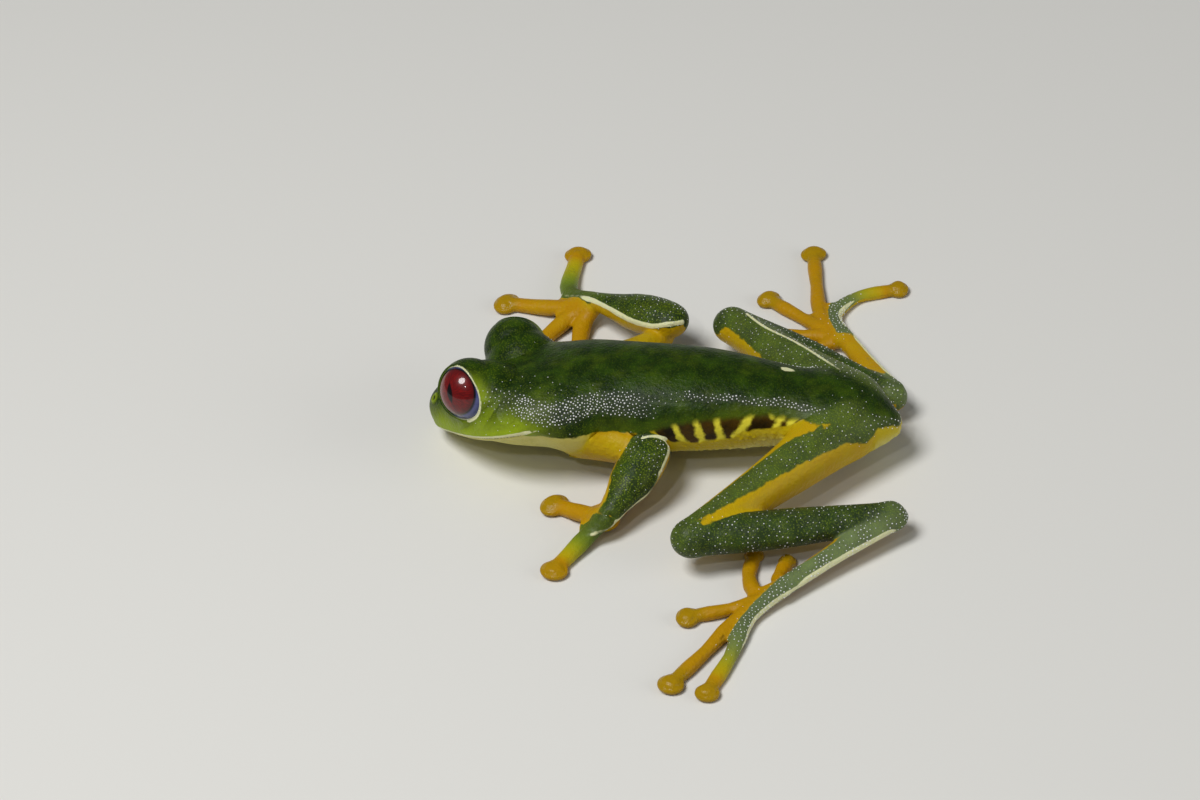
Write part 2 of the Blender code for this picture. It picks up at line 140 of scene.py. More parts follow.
# The head, turned a little to the frog's right, nose down. It is lofted in a frame of its own, whose
# base is on the neck, and each eye stands in a dome of skin.
# Each ring: forward, level of its widest line, half width, rise, drop.
HEAD = (
    (-5.5, -3.2, 3.2, 1.2, 2.2),
    (-2.5, -3.0, 6.3, 2.4, 4.1),
    (0.0, -2.8, 7.6, 3.2, 4.25),
    (3.0, -2.6, 8.3, 3.6, 3.95),
    (6.0, -2.4, 8.1, 3.7, 3.75),
    (9.0, -2.2, 7.2, 3.5, 3.5),
    (12.0, -2.0, 5.8, 3.1, 3.1),
    (14.3, -1.8, 4.5, 2.8, 2.7),
    (15.8, -1.7, 3.4, 2.4, 2.2),
    (16.6, -1.6, 2.5, 1.7, 1.6),
    (17.0, -1.6, 1.4, 0.9, 0.9),
)
HEAD_POWER = 2.35
HEAD_BASE = Vector((34.3, 1.4, 9.8))
HEAD_TURN = (
    Matrix.Rotation(radians(-9.0), 3, "Z")
    @ Matrix.Rotation(radians(19.5), 3, "Y")
    @ Matrix.Rotation(radians(11.0), 3, "X")
)
SIDES = {"left": 1, "right": -1}
EYE_CENTRE = Vector((8.6, 5.2, 1.6))
EYE_RADIUS = 3.2
DOME_OFFSET = Vector((-1.1, -1.25, -0.95))  # from an eye's middle to the middle of its dome
DOME_RADIUS = 3.3
SHELL_RADIUS = 3.4  # the lids, which hug the eyeball


def to_body(point):
    """From the head's frame to the body's."""
    return HEAD_BASE + HEAD_TURN @ Vector(point)


def mirrored(vector, side):
    return Vector((vector[0], vector[1] * side, vector[2]))


def add_blob(centre, radii, turn=None):
    """A rounded lump, such as a knee, a palm or a lid."""
    place = Matrix.Translation(centre) @ (turn or Matrix.Identity(4)) @ Matrix.Diagonal((*radii, 1))
    bm = bmesh.new()
    bmesh.ops.create_uvsphere(bm, u_segments=32, v_segments=20, radius=1.0, matrix=place)
    keep(bm)


head = bmesh.new()
rings = []
for forward, level, half_width, rise, drop in curve_through(HEAD, 5):
    centre = to_body((forward, 0, level))
    along = HEAD_TURN @ Vector((1, 0, 0))
    rings.append(add_ring(head, centre, along, HEAD_TURN @ UP, half_width, rise, drop, HEAD_POWER))
skin_rings(head, rings)
keep(head)
for side in SIDES.values():
    dome = mirrored(EYE_CENTRE + DOME_OFFSET, side)
    add_blob(to_body(dome), (DOME_RADIUS,) * 3)
    add_blob(to_body(mirrored(EYE_CENTRE, side)), (SHELL_RADIUS,) * 3)


# The limbs: slender upper arms, stout forearms, and long hind legs folded in a Z at the frog's sides.
# Sizes are half widths and half heights spread evenly along each length of limb.
SHOULDER = {"left": (32.2, 5.6, 5.2), "right": (31.6, -5.0, 5.4)}
ELBOW = {"left": (24.0, 8.2, 5.0), "right": (26.9, -14.8, 5.2)}
UNDER_ELBOW = {"left": (24.0, 8.2, 4.6), "right": (27.4, -14.4, 3.3)}
WRIST = {"left": (26.8, 16.0, 2.9), "right": (36.6, -20.4, 2.9)}
HIP = {"left": (4.2, 2.4, 5.3), "right": (4.2, -2.4, 5.3)}
KNEE = {"left": (16.9, 20.4, 4.3), "right": (20.2, -16.2, 4.0)}
HEEL = {"left": (-2.5, 12.8, 2.8), "right": (0.9, -7.0, 2.8)}
ANKLE = {"left": (6.2, 23.0, 1.6), "right": (8.0, -17.8, 1.6)}
LIMBS = {  # first joint, last joint, sizes
    "upper_arm": (SHOULDER, UNDER_ELBOW, ((1.9, 2.2), (1.6, 1.7), (1.25, 1.2))),
    "forearm": (ELBOW, WRIST, ((2.3, 1.9), (2.6, 2.1), (2.3, 1.8), (1.6, 1.25), (1.2, 0.95))),
    "thigh": (HIP, KNEE, ((3.0, 3.0), (2.9, 2.9), (2.5, 2.5), (2.2, 2.1), (2.0, 1.9))),
    "shank": (KNEE, HEEL, ((1.9, 1.8), (2.35, 1.95), (2.3, 1.85), (1.9, 1.65), (1.5, 1.5))),
    "tarsus": (HEEL, ANKLE, ((1.55, 1.45), (1.4, 1.2), (1.15, 1.05), (1.0, 0.95), (1.05, 0.95))),
}
JOINT_LUMPS = (
    (SHOULDER, (2.3, 2.0, 2.4)),
    (ELBOW, (2.25, 2.25, 1.85)),
    (HIP, (3.0, 3.0, 3.0)),
    (KNEE, (2.1, 2.1, 1.95)),
    (HEEL, (1.65, 1.65, 1.6)),
)


def size_at(sizes, share):
    """The half width and half height at a share of the limb's length."""
    places = np.linspace(0, 1, len(sizes))
    return [np.interp(share, places, column) for column in zip(*sizes)]


def add_tube(points, sizes):
    """A tapered limb along a smooth curve through the points."""
    bm = bmesh.new()
    run = [Vector(point) for point in curve_through(points)]
    last = len(run) - 1
    rings = []
    for i, centre in enumerate(run):
        along = (run[min(i + 1, last)] - run[max(i - 1, 0)]).normalized()
        width, height = size_at(sizes, i / last)
        rings.append(add_ring(bm, centre, along, UP, width, height, height))
    skin_rings(bm, rings)
    keep(bm)


for side in SIDES:
    for first, last, sizes in LIMBS.values():
        add_tube((first[side], last[side]), sizes)
    for joint, radii in JOINT_LUMPS:
        add_blob(joint[side], radii)


# The hands and feet: slim digits that end in wide sticky discs, with thin webs between the roots of
# most of them. Each digit runs from the wrist or ankle through its points to its disc's middle.
FINGERS = {
    "left": (
        ((26.8, 13.2, 1.1), (25.9, 9.7, 0.62)),
        ((27.6, 12.1, 1.2), (27.4, 6.7, 0.62)),
        ((29.9, 14.1, 1.2), (33.7, 12.4, 0.62)),
        ((28.9, 17.9, 1.2), (31.2, 22.8, 0.62)),
    ),
    "right": (
        ((37.8, -18.2, 1.2), (37.4, -13.7, 0.62)),
        ((39.8, -19.0, 1.2), (42.6, -14.0, 0.62)),
        ((41.6, -21.0, 1.2), (47.6, -21.9, 0.62)),
        ((40.8, -24.1, 1.2), (41.7, -31.8, 0.62)),
    ),
}
TOES = {
    "left": (
        ((7.6, 21.8, 0.9), (7.4, 18.6, 0.6)),
        ((9.2, 24.2, 0.9), (10.8, 21.6, 0.7), (11.0, 18.0, 0.55)),
        ((9.9, 26.0, 0.9), (15.8, 28.4, 0.6)),
        ((10.2, 27.6, 0.9), (12.8, 33.4, 0.7), (15.3, 38.6, 0.6)),
        ((9.4, 28.0, 0.9), (10.2, 34.0, 0.7), (11.4, 39.4, 0.6)),
    ),
    "right": (
        ((10.0, -17.8, 0.9), (13.6, -15.2, 0.6)),
        ((11.4, -19.2, 0.9), (17.0, -19.2, 0.6)),
        ((11.9, -21.0, 0.9), (18.3, -25.7, 0.6)),
        ((11.6, -22.5, 0.9), (13.4, -28.7, 0.7), (14.9, -34.6, 0.6)),
        ((10.2, -22.9, 0.9), (8.6, -26.8, 0.7), (4.2, -29.0, 0.6)),
    ),
}
PAWS = {  # start, digits, half widths of the discs, digit sizes, webs as two digits and their share
    "hand": (
        WRIST,
        FINGERS,
        (1.25, 1.35, 1.75, 1.6),
        ((1.2, 0.95), (1.08, 0.86), (0.98, 0.78), (1.06, 0.86), (0.92, 0.74), (0.92, 0.74)),
        ((0, 1, 0.48), (1, 2, 0.5), (2, 3, 0.46)),
    ),
    "foot": (
        ANKLE,
        TOES,
        (1.0, 1.1, 1.45, 1.5, 1.35),
        ((1.0, 0.85), (0.86, 0.74), (0.76, 0.64), (0.88, 0.76), (0.72, 0.6), (0.84, 0.72), (0.74, 0.62)),
        ((1, 2, 0.44), (2, 3, 0.52), (3, 4, 0.54)),
    ),
}
DISC_LENGTH = 0.86  # of its half width
DISC_HEIGHT = 0.72
PALM = (2.0, 1.7, 0.85)
PALM_LEVEL = 0.95
WEB_THICKNESS = 0.4
WEB_STEPS = 10
WEB_STEP_RADIUS = 0.6
WEB_OVERLAP = 0.2  # into each of the two digits


def facing(direction):
    """Turns X to a level direction."""
    return Matrix.Rotation(atan2(direction[1], direction[0]), 4, "Z")


def part_way(points, share):
    """The first share of the smooth curve through the points, by length, as evenly spaced spots."""
    run = curve_through(points)
    gone = np.concatenate([[0], np.cumsum(np.linalg.norm(np.diff(run, axis=0), axis=1))])
    return [np.interp(share * gone[-1], gone, column) for column in run.T], gone[-1]


def add_web(first, second, reach):
    """A thin web between two digits, out to a share of the shorter one's length."""
    span = reach * min(part_way(first, 1)[1], part_way(second, 1)[1])
    for i in range(1, WEB_STEPS + 1):
        ends = []
        for points in (first, second):
            length = part_way(points, 1)[1]
            ends.append(Vector(part_way(points, span * i / WEB_STEPS / length)[0]))
        across = ends[1] - ends[0]
        radii = (WEB_STEP_RADIUS, across.length / 2 + WEB_OVERLAP, WEB_THICKNESS)
        add_blob((ends[0] + ends[1]) / 2, radii, facing(across.cross(UP)))


discs = []  # each disc's middle, direction and half width
for side in SIDES:
    for start, digits, widths, sizes, webs in PAWS.values():
        curves = [(start[side], *points) for points in digits[side]]
        for points, half_width in zip(curves, widths):
            add_tube(points, sizes)
            direction = (Vector(points[-1]) - Vector(points[-2])).normalized()
            radii = (half_width * DISC_LENGTH, half_width, DISC_HEIGHT)
            add_blob(points[-1], radii, facing(direction))
            discs.append((points[-1], direction, half_width))
        for first, second, reach in webs:
            add_web(curves[first], curves[second], reach)
    roots = [WRIST[side], *(finger[0] for finger in FINGERS[side])]
    palm = np.mean(roots, axis=0)
    add_blob((palm[0], palm[1], PALM_LEVEL), PALM)


# The skin over it all. The lofts are closed into one surface, which is softened where limbs meet the
# body. It takes the place of every solid of flesh, so that no cut between them shows.
SKIN_VOXEL = 0.15
SOFTENING = 10
SKIN_TRIANGLES = 190000


def into_scene(name, data):
    obj = bpy.data.objects.new(name, data)
    bpy.context.scene.collection.objects.link(obj)
    return obj


def object_from(name, bm):
    mesh = bpy.data.meshes.new(name)
    bm.to_mesh(mesh)
    bm.free()
    return into_scene(name, mesh)


def apply_modifiers(obj):
    graph = bpy.context.evaluated_depsgraph_get()
    mesh = bpy.data.meshes.new_from_object(obj.evaluated_get(graph))
    obj.modifiers.clear()
    obj.data = mesh


body = bmesh.new()
for mesh in flesh:
    body.from_mesh(mesh)
skin = object_from("skin", body)
remesh = skin.modifiers.new("Close", "REMESH")
remesh.mode = "VOXEL"
remesh.voxel_size = SKIN_VOXEL
soften = skin.modifiers.new("Soften", "SMOOTH")
soften.factor = 0.5
soften.iterations = SOFTENING
apply_modifiers(skin)


def spots_of(mesh, kind="co"):
    """The places, or the normals, of a mesh's vertices."""
    found = np.empty(len(mesh.vertices) * 3, np.float32)
    if kind == "co":
        mesh.vertices.foreach_get("co", found)
    else:
        mesh.vertex_normals.foreach_get("vector", found)
    return found.reshape(-1, 3).astype(float)


def place_spots(mesh, spots):
    mesh.vertices.foreach_set("co", spots.astype(np.float32).ravel())
    mesh.update()


def smooth_step(low, high, value):
    t = np.clip((value - low) / (high - low), 0, 1)
    return t * t * (3 - 2 * t)


def hump(value, middle, width):
    return np.exp(-(((value - middle) / width) ** 2))


# Where the parts of the body meet, the skin runs from one to the next in a soft hollow. Each part is
# read by its own measures: for a limb, the share of its length from its first joint and the angle
# round it from its side to its top. For the trunk and the head it is the height over the widest line.
BODY_JOIN = 1.0
LIMB_JOIN = 0.22
JOIN_SOFTENING = 40
JOIN_LEVELS = 5
FULL_JOIN = 0.3  # how far a join lifts the skin where it is softened in full


def gap_to_run(spots, run):
    """Each spot's distance from a line through the points."""
    best = np.full(len(spots), 1e3)
    for a, b in zip(run, run[1:]):
        step = b - a
        share = np.clip((spots - a) @ step / (step @ step), 0, 1)
        best = np.minimum(best, np.linalg.norm(spots - a - share[:, None] * step, axis=1))
    return best


def to_head(spots):
    """From the body's frame to the head's."""
    return (spots - np.array(HEAD_BASE)) @ np.array(HEAD_TURN)


def either_side(spots):
    """Head spots as if all were on its left."""
    return spots * np.where(spots[:, 1:2] < 0, (1, -1, 1), 1)


def read_limb(spots, points, sizes):
    """Share along the limb, angle round it in degrees, height over its surface and its radius."""
    run = curve_through(points) if len(points) > 2 else np.array(points, float)
    last = len(run) - 1
    share = np.zeros(len(spots))
    nearest = np.full(len(spots), 1e3)
    off = np.zeros_like(spots)
    along = np.tile(run[-1] - run[0], (len(spots), 1))
    for i, (a, b) in enumerate(zip(run, run[1:])):
        step = b - a
        part = np.clip((spots - a) @ step / (step @ step), 0, 1)
        away = spots - a - part[:, None] * step
        gap = np.linalg.norm(away, axis=1)
        closer = gap < nearest
        nearest[closer] = gap[closer]
        share[closer] = (i + part[closer]) / last
        off[closer] = away[closer]
        along[closer] = step
    side = np.cross((0, 0, 1), along)
    side /= np.linalg.norm(side, axis=1)[:, None]
    top = np.cross(along, side)
    top /= np.linalg.norm(top, axis=1)[:, None]
    angle = np.arctan2((off * top).sum(1), (off * side).sum(1))
    width, height = size_at(sizes, share)
    radius = 1 / np.sqrt((np.cos(angle) / width) ** 2 + (np.sin(angle) / height) ** 2)
    return share, np.degrees(angle), nearest - radius, radius


def read_trunk(spots):
    """Height over the widest line, angle from it up or down, height over the surface, radius."""
    rows = np.array(TRUNK).T
    left, up, half_width, rise, drop, roll = (np.interp(spots[:, 0], rows[0], row) for row in rows[1:])
    turn = np.radians(roll)
    across = (spots[:, 1] - left) * np.cos(turn) + (spots[:, 2] - up) * np.sin(turn)
    height = (spots[:, 2] - up) * np.cos(turn) - (spots[:, 1] - left) * np.sin(turn)
    tall = np.where(height > 0, rise, drop)
    shares = np.abs(across / half_width) ** TRUNK_POWER + np.abs(height / tall) ** TRUNK_POWER
    beyond = np.maximum(spots[:, 0] - rows[0][-1], 0) + np.maximum(rows[0][0] - spots[:, 0], 0)
    over = (shares ** (1 / TRUNK_POWER) - 1) * np.minimum(half_width, tall) + beyond
    angle = np.degrees(np.arctan2(height / tall, np.abs(across) / half_width))
    return height, angle, over, (half_width + tall) / 2


def read_head(on_head):
    """Height over the plain form of the head, and over its eye domes."""
    rows = np.array(HEAD).T
    level, half_width, rise, drop = (np.interp(on_head[:, 0], rows[0], row) for row in rows[1:])
    height = on_head[:, 2] - level
    tall = np.where(height > 0, rise, drop)
    shares = np.abs(on_head[:, 1] / half_width) ** HEAD_POWER + np.abs(height / tall) ** HEAD_POWER
    beyond = np.maximum(on_head[:, 0] - rows[0][-1], 0) + np.maximum(rows[0][0] - on_head[:, 0], 0)
    over = (shares ** (1 / HEAD_POWER) - 1) * np.minimum(half_width, tall) + beyond
    dome = np.array(EYE_CENTRE + DOME_OFFSET)
    return over, np.linalg.norm(on_head - dome, axis=1) - DOME_RADIUS


def swell(gaps, reach):
    """How far a soft join lifts the skin above parts at these distances from it."""
    return np.maximum(reach * np.log(sum(np.exp(-np.clip(gap, 0, 20) / reach) for gap in gaps)), 0)


spots = spots_of(skin.data)
normals = spots_of(skin.data, "normal")
limb_gaps = {
    (name, side): read_limb(spots, (first[side], last[side]), sizes)[2]
    for name, (first, last, sizes) in LIMBS.items()
    for side in SIDES
}
body_gaps = [read_trunk(spots)[2], *read_head(either_side(to_head(spots)))]
body_gaps += [gap for (name, side), gap in limb_gaps.items() if name in ("upper_arm", "thigh")]
lift = swell(body_gaps, BODY_JOIN)
for side in SIDES:
    for pair in (("upper_arm", "forearm"), ("thigh", "shank"), ("shank", "tarsus")):
        lift = np.maximum(lift, swell([limb_gaps[name, side] for name in pair], LIMB_JOIN))
place_spots(skin.data, spots + normals * lift[:, None])
joins = skin.vertex_groups.new(name="joins")
for level in range(1, JOIN_LEVELS + 1):
    chosen = np.flatnonzero(np.ceil(np.clip(lift / FULL_JOIN, 0, 1) * JOIN_LEVELS) == level)
    joins.add(chosen.tolist(), level / JOIN_LEVELS, "REPLACE")
settle = skin.modifiers.new("Settle", "SMOOTH")
settle.factor = 0.5
settle.iterations = JOIN_SOFTENING
settle.vertex_group = "joins"
apply_modifiers(skin)
skin.vertex_groups.clear()


# The face: a crease for the mouth with a full upper lip over a narrower jaw, a ridge from each eye to
# its nostril, a thin drum of skin behind the eye, and the fold over it that runs to the shoulder.
MOUTH_LEVEL = -3.15
MOUTH_END = 2.2
# The mouth's section: how far the skin rises, the height over the crease and half that band's width.
MOUTH_SECTION = ((-0.26, -0.05, 0.16), (0.13, 0.42, 0.35), (0.05, -0.5, 0.3))
JAW_NARROWING = 0.2
JAW_SET_BACK = 0.06
NOSTRIL = Vector((15.15, 2.9, 0.38))
RIDGE = ((11.6, 4.3, 1.2), (13.2, 3.3, 1.0), (14.6, 2.6, 0.7))
EARDRUM = Vector((3.4, 7.7, -0.8))
EARDRUM_RADIUS = 1.1
FOLD = ((5.6, 7.4, 0.8), (4.0, 7.6, 0.9), (2.4, 7.7, 0.1), (1.2, 8.0, -1.4), (0.5, 7.8, -2.8))

spots = spots_of(skin.data)
normals = spots_of(skin.data, "normal")
on_head = to_head(spots)
near_head = (on_head[:, 0] > -3) & (np.abs(on_head[:, 1]) < 10) & (np.abs(on_head[:, 2]) < 8)
below = smooth_step(-0.1, 1.4, MOUTH_LEVEL - on_head[:, 2]) * smooth_step(-2, 3, on_head[:, 0])
below *= near_head
on_head[:, 1] *= 1 - JAW_NARROWING * below
on_head[:, 0] -= JAW_SET_BACK * np.maximum(on_head[:, 0] - 4, 0) * below
spots = on_head @ np.array(HEAD_TURN).T + np.array(HEAD_BASE)
on_head = either_side(on_head)
ahead = smooth_step(MOUTH_END - 1.0, MOUTH_END + 0.5, on_head[:, 0])
above_mouth = on_head[:, 2] - MOUTH_LEVEL
push = -0.22 * hump(on_head[:, 0], 13.2, 1.5) * hump(above_mouth, 1.9, 0.7)  # hollow under the ridge
for rise, level, half_width in MOUTH_SECTION:
    push += rise * hump(above_mouth, level, half_width) * ahead
from_drum = np.linalg.norm(on_head - np.array(EARDRUM), axis=1)
from_nostril = np.linalg.norm(on_head - np.array(NOSTRIL), axis=1)
# Each mark on the face: the distance from it, how far it rises, and its band's middle and half width.
for distance, rise, band, half_width in (
    (gap_to_run(on_head, curve_through(RIDGE)), 0.22, 0, 0.55),
    (from_drum, 0.09, EARDRUM_RADIUS, 0.18),
    (from_drum, -0.12, 0, EARDRUM_RADIUS * 0.6),
    (gap_to_run(on_head, curve_through(FOLD)), 0.22, 0, 0.38),
    (from_nostril, 0.16, 0.45, 0.2),
    (from_nostril, -0.3, 0, 0.24),
):
    push += rise * hump(distance, band, half_width)
spots += normals * (push * near_head)[:, None]


# The lids. Each eye looks out through an almond between them, wider below and behind than in front.
# The skin is tucked under the eyeball inside it, and rises in a low rim round it.
GAZE = Vector((0.135, 0.935, 0.327)).normalized()
GAZE_UP = (UP - GAZE * GAZE.z).normalized()
GAZE_FRONT = GAZE.cross(GAZE_UP)
# Half opening in degrees, by the direction from the gaze: 0 in front, 90 above, 180 behind.
OPENING = ((-180, 54.5), (-160, 59), (-140, 64), (-118, 68.5), (-92, 69), (-68, 61), (-45, 51),
           (-20, 46), (8, 45.5), (34, 48), (58, 53), (82, 55), (106, 54), (132, 51), (158, 51), (180, 54.5))
TUCK = 0.35
LID_GAP = 0.1  # from the eyeball up to the skin round it
LID_EDGE = 0.26
LID_REACH = (2.4, 4.6)  # distances from an eye's middle between which the skin is its lids
LID_WIDTH = 2.6


def opening_at(direction):
    """The half opening in radians for directions in radians."""
    angles, reach = curve_through(OPENING, 8).T
    return np.radians(np.interp(np.degrees(direction), angles, reach))


def eye_frame(side):
    """The eye's middle and its axes to the front, up and along the gaze, in the body's frame."""
    axes = [HEAD_TURN @ mirrored(axis, side) for axis in (GAZE_FRONT, GAZE_UP, GAZE)]
    return np.array(to_body(mirrored(EYE_CENTRE, side))), np.array(axes)


def read_lids(spots, side):
    """Distances from the eye's middle, and over the skin from the edge of its opening."""
    middle, axes = eye_frame(side)
    out = spots - middle
    reach = np.linalg.norm(out, axis=1)
    seen = out @ axes.T / reach[:, None]
    off_gaze = np.arccos(np.clip(seen[:, 2], -1, 1))
    outside = (off_gaze - opening_at(np.arctan2(seen[:, 1], seen[:, 0]))) * EYE_RADIUS
    return middle, out, reach, outside, seen


for side in SIDES.values():
    middle, out, reach, outside, _ = read_lids(spots, side)
    lid = EYE_RADIUS + LID_GAP + (LID_EDGE - LID_GAP) * hump(outside, 0.2, 0.45)
    slope = lid + 0.06 + 0.9 * np.maximum(outside, 0)
    target = np.where(outside < 0, np.minimum(reach, EYE_RADIUS - TUCK), np.clip(reach, lid, slope))
    cover = (reach > LID_REACH[0]) & (reach < LID_REACH[1]) & (outside < LID_WIDTH)
    spots[cover] = middle + (out / reach[:, None] * target[:, None])[cover]


# Folds, discs and belly: a pale ridge along each forearm and foot and over the right thigh, a groove
# round the rim of each disc, and the flat-topped granules of the belly.
# Each pale ridge: half its width, then its way over the skin.
PALE_RIDGES = (
    (0.17, ((24.6, 7.7, 6.9), (23.4, 7.2, 6.6), (22.4, 7.0, 6.2), (21.9, 7.5, 5.6), (21.9, 8.9, 5.4),
            (22.4, 10.9, 4.7), (23.7, 13.2, 3.2), (25.6, 16.2, 2.5), (28.2, 18.1, 1.8))),
    (0.22, ((41.2, -23.0, 1.4), (39.0, -21.2, 2.6), (36.8, -19.4, 3.8), (33.8, -16.6, 4.7),
            (30.9, -14.2, 5.2), (28.4, -13.1, 5.6), (26.6, -12.9, 6.1), (25.1, -13.7, 5.9))),
    (0.12, ((18.3, -15.7, 6.0), (15.5, -12.8, 6.5), (11.6, -9.8, 7.1), (7.6, -5.7, 8.1), (5.5, -3.2, 8.8))),
)
# Down each foot, in degrees round it at its heel and at its toes, and then round its outer toe.
FOOT_RIDGE = {"left": (-12, 2, 4), "right": (132, 140, 155)}
RIDGE_RISE = 0.16
GRANULE_SIZE = 0.5
GRANULE_RISE = 0.22
RIM_GROOVE = 0.12
DISC_SWELL = 0.10
FOOT_SINK = 0.12  # how far the frog's weight presses its discs and palms flat
BELLY_TOP = ((-2, 5), (8, 8), (13, 4), (18, -10), (22, -18), (26, -18), (36, -14))


def read_table(value, table):
    return np.interp(value, *zip(*table))


def arc_from(angle, middle, radius):
    """Distance round the limb from a line at an angle, in millimetres, positive above it."""
    turn = (angle - middle + 180) % 360 - 180
    return np.radians(turn) * radius


place_spots(skin.data, spots)
normals = spots_of(skin.data, "normal")
for half, way in PALE_RIDGES:
    ridge = hump(gap_to_run(spots, curve_through(way, 4)), 0, half + 0.12)
    spots += normals * (RIDGE_RISE * ridge)[:, None]
first, last, sizes = LIMBS["tarsus"]
for side, (heel_angle, toe_angle, _) in FOOT_RIDGE.items():
    share, angle, over, radius = read_limb(spots, (first[side], last[side]), sizes)
    line = heel_angle + (toe_angle - heel_angle) * share
    ridge = hump(arc_from(angle, line, radius), 0, 0.4) * (over < 0.9)
    spots += normals * (RIDGE_RISE * ridge)[:, None]
_, angle, over, _ = read_trunk(spots)
under = smooth_step(0, 8, read_table(spots[:, 0], BELLY_TOP) - angle) * (over < 0.6) * (spots[:, 0] < 40)
for i in np.flatnonzero(under > 0):
    nearest, _ = noise.voronoi(Vector(spots[i] / GRANULE_SIZE))
    spots[i] += normals[i] * (GRANULE_RISE * under[i] * (nearest[1] - nearest[0]))
for middle, direction, half_width in discs:
    across = np.array(direction.cross(UP).normalized())
    out = spots - np.array(middle)
    ahead = out @ np.array(direction) / (half_width * DISC_LENGTH)
    rim = np.hypot(ahead, out @ across / half_width)
    upper = (out[:, 2] > 0) * (out[:, 2] < 1)
    spots[:, 2] -= RIM_GROOVE * hump(rim, 0.8, 0.1) * upper * (ahead > -0.6)
    spots[:, 2] += DISC_SWELL * hump(rim, 0.35, 0.3) * upper

spots[:, 2] = np.maximum(spots[:, 2] - FOOT_SINK, 0)
place_spots(skin.data, spots)
height, _, over, _ = read_trunk(spots)
on_head = either_side(to_head(spots))
# The flanks and the face keep their finest mesh. The rest is thinned.
fine = (over < 0.7) & (np.abs(height) < 2.6) & (spots[:, 0] > 4) & (spots[:, 0] < 25)
fine |= (on_head[:, 0] > 1) & (on_head[:, 1] > 1.2) & (on_head[:, 2] > -4.4)
coarse = skin.vertex_groups.new(name="coarse")
coarse.add(np.flatnonzero(~fine).tolist(), 1.0, "REPLACE")
thin = skin.modifiers.new("Thin", "DECIMATE")
thin.vertex_group = "coarse"
skin.data.calc_loop_triangles()
thin.ratio = min(1.0, SKIN_TRIANGLES / len(skin.data.loop_triangles))
apply_modifiers(skin)
skin.vertex_groups.clear()


# The skin's markings. Leaf green above, cream below, dark flanks with upright yellow bars, and orange
# where the limbs fold. Each is stored as a distance over the skin, in millimetres, to the line where
# one colour meets the next, so that the edge stays sharp however near it is seen.
GREEN_EDGE = ((-2, 30), (3, 34), (6, 30), (9, 27), (11.5, 29), (13, 27), (15.6, 22), (18, 19), (20.3, 14),
              (22, 9), (23.7, 3), (25, 0), (30, -1), (33, -5), (37, -12), (42, -20))
# The lower edge of the green on the head, as its level there.
FACE_EDGE = ((-6, -5.7), (-4.2, -5.3), (-3.2, -5.2), (-1.4, -4.6), (1.2, -3.6), (2.6, -2.9), (17, -2.8))
BROWN_FLOOR = ((5, 2.6), (7.7, 1.9), (10.2, 0.8), (11.9, 0.3), (14.4, 0.0), (15.7, -0.8), (18, -1.1),
               (21.3, -1.4), (24, -1.4))
BROWN_REACH = (5.8, 23.6)
FLANK_WARMTH = 0.46  # from cream at 0, through yellow and orange, to gold at 1
ARMPIT_WARMTH = 0.7
BELLY_WARMTH = 0.16
CREAM_TOP = ((4, 1.4), (12, 0.9), (17, -1.4), (30, -1.4))  # where the belly's cream begins
# Each stroke of yellow on the flank: from and to, as forward and height, and half its width.
BARS = (
    ((21.5, 1.2), (20.9, -0.4), 0.26),
    ((20.9, -0.4), (20.2, -2.0), 0.34),
    ((19.3, 2.1), (18.9, 0.4), 0.24),
    ((18.9, 0.4), (18.5, -1.8), 0.36),
    ((17.0, 2.2), (16.8, 0.3), 0.30),
    ((16.8, 0.3), (16.5, -2.0), 0.42),
    ((13.3, 2.3), (13.9, 1.2), 0.34),
    ((13.9, 1.2), (15.1, -0.6), 0.40),
    ((11.6, 2.1), (11.3, 1.8), 0.16),
    ((10.2, 1.8), (11.0, 0.6), 0.28),
    ((8.6, 2.0), (9.6, 1.0), 0.22),
    ((7.0, 2.2), (8.0, 1.5), 0.24),
)
# Where each limb is green: rows of the share of its length and two angles round it in degrees.
GREEN_ROUND = {
    "forearm": {
        "left": ((0, 2, 160), (0.25, -1, 150), (0.6, -20, 146), (0.9, -32, 116), (1, -36, 110)),
        "right": ((0, 9, 250), (0.12, 10, 240), (0.27, 14, 230), (0.6, 25, 220), (1, 40, 215)),
    },
    "thigh": {
        "left": ((0, 0, 70), (0.11, 26, 66), (0.2, 32, 84), (0.28, 36, 102), (0.47, 47, 118), (0.63, 55, 122),
                 (0.82, 66, 126), (0.93, 78, 140), (0.98, 82, 200), (0.995, -60, 220), (1, -60, 220)),
        "right": ((0, 2, 150), (0.5, 18, 150), (0.95, 40, 150), (1, 10, 200)),
    },
    "shank": {
        "left": ((0, -60, 262), (0.01, 80, 262), (0.1, 84, 262), (0.2, 62, 258), (0.3, 46, 254),
                 (1, 40, 250)),
        "right": ((0, -45, 230), (1, -45, 230)),
    },
    "tarsus": {
        "left": ((0, -60, 200), (0.3, -30, 128), (0.6, -34, 112), (0.8, -40, 125), (1, -55, 165)),
        "right": ((0, 60, 260), (0.25, 128, 215), (1, 136, 215)),
    },
}
LIMB_LOOKS = {  # warmth, paleness, greyness, specks, pebbles
    "upper_arm": (0.6, 0.1, 0.0, 0.0, 0.6),
    "forearm": (0.66, 0.05, 0.04, 0.4, 1.0),
    "thigh": (0.62, 0.12, 0.16, 0.34, 0.7),
    "shank": (0.6, 0.0, 0.1, 0.42, 0.6),
    "tarsus": (0.72, 0.2, 0.9, 0.8, 0.5),
}
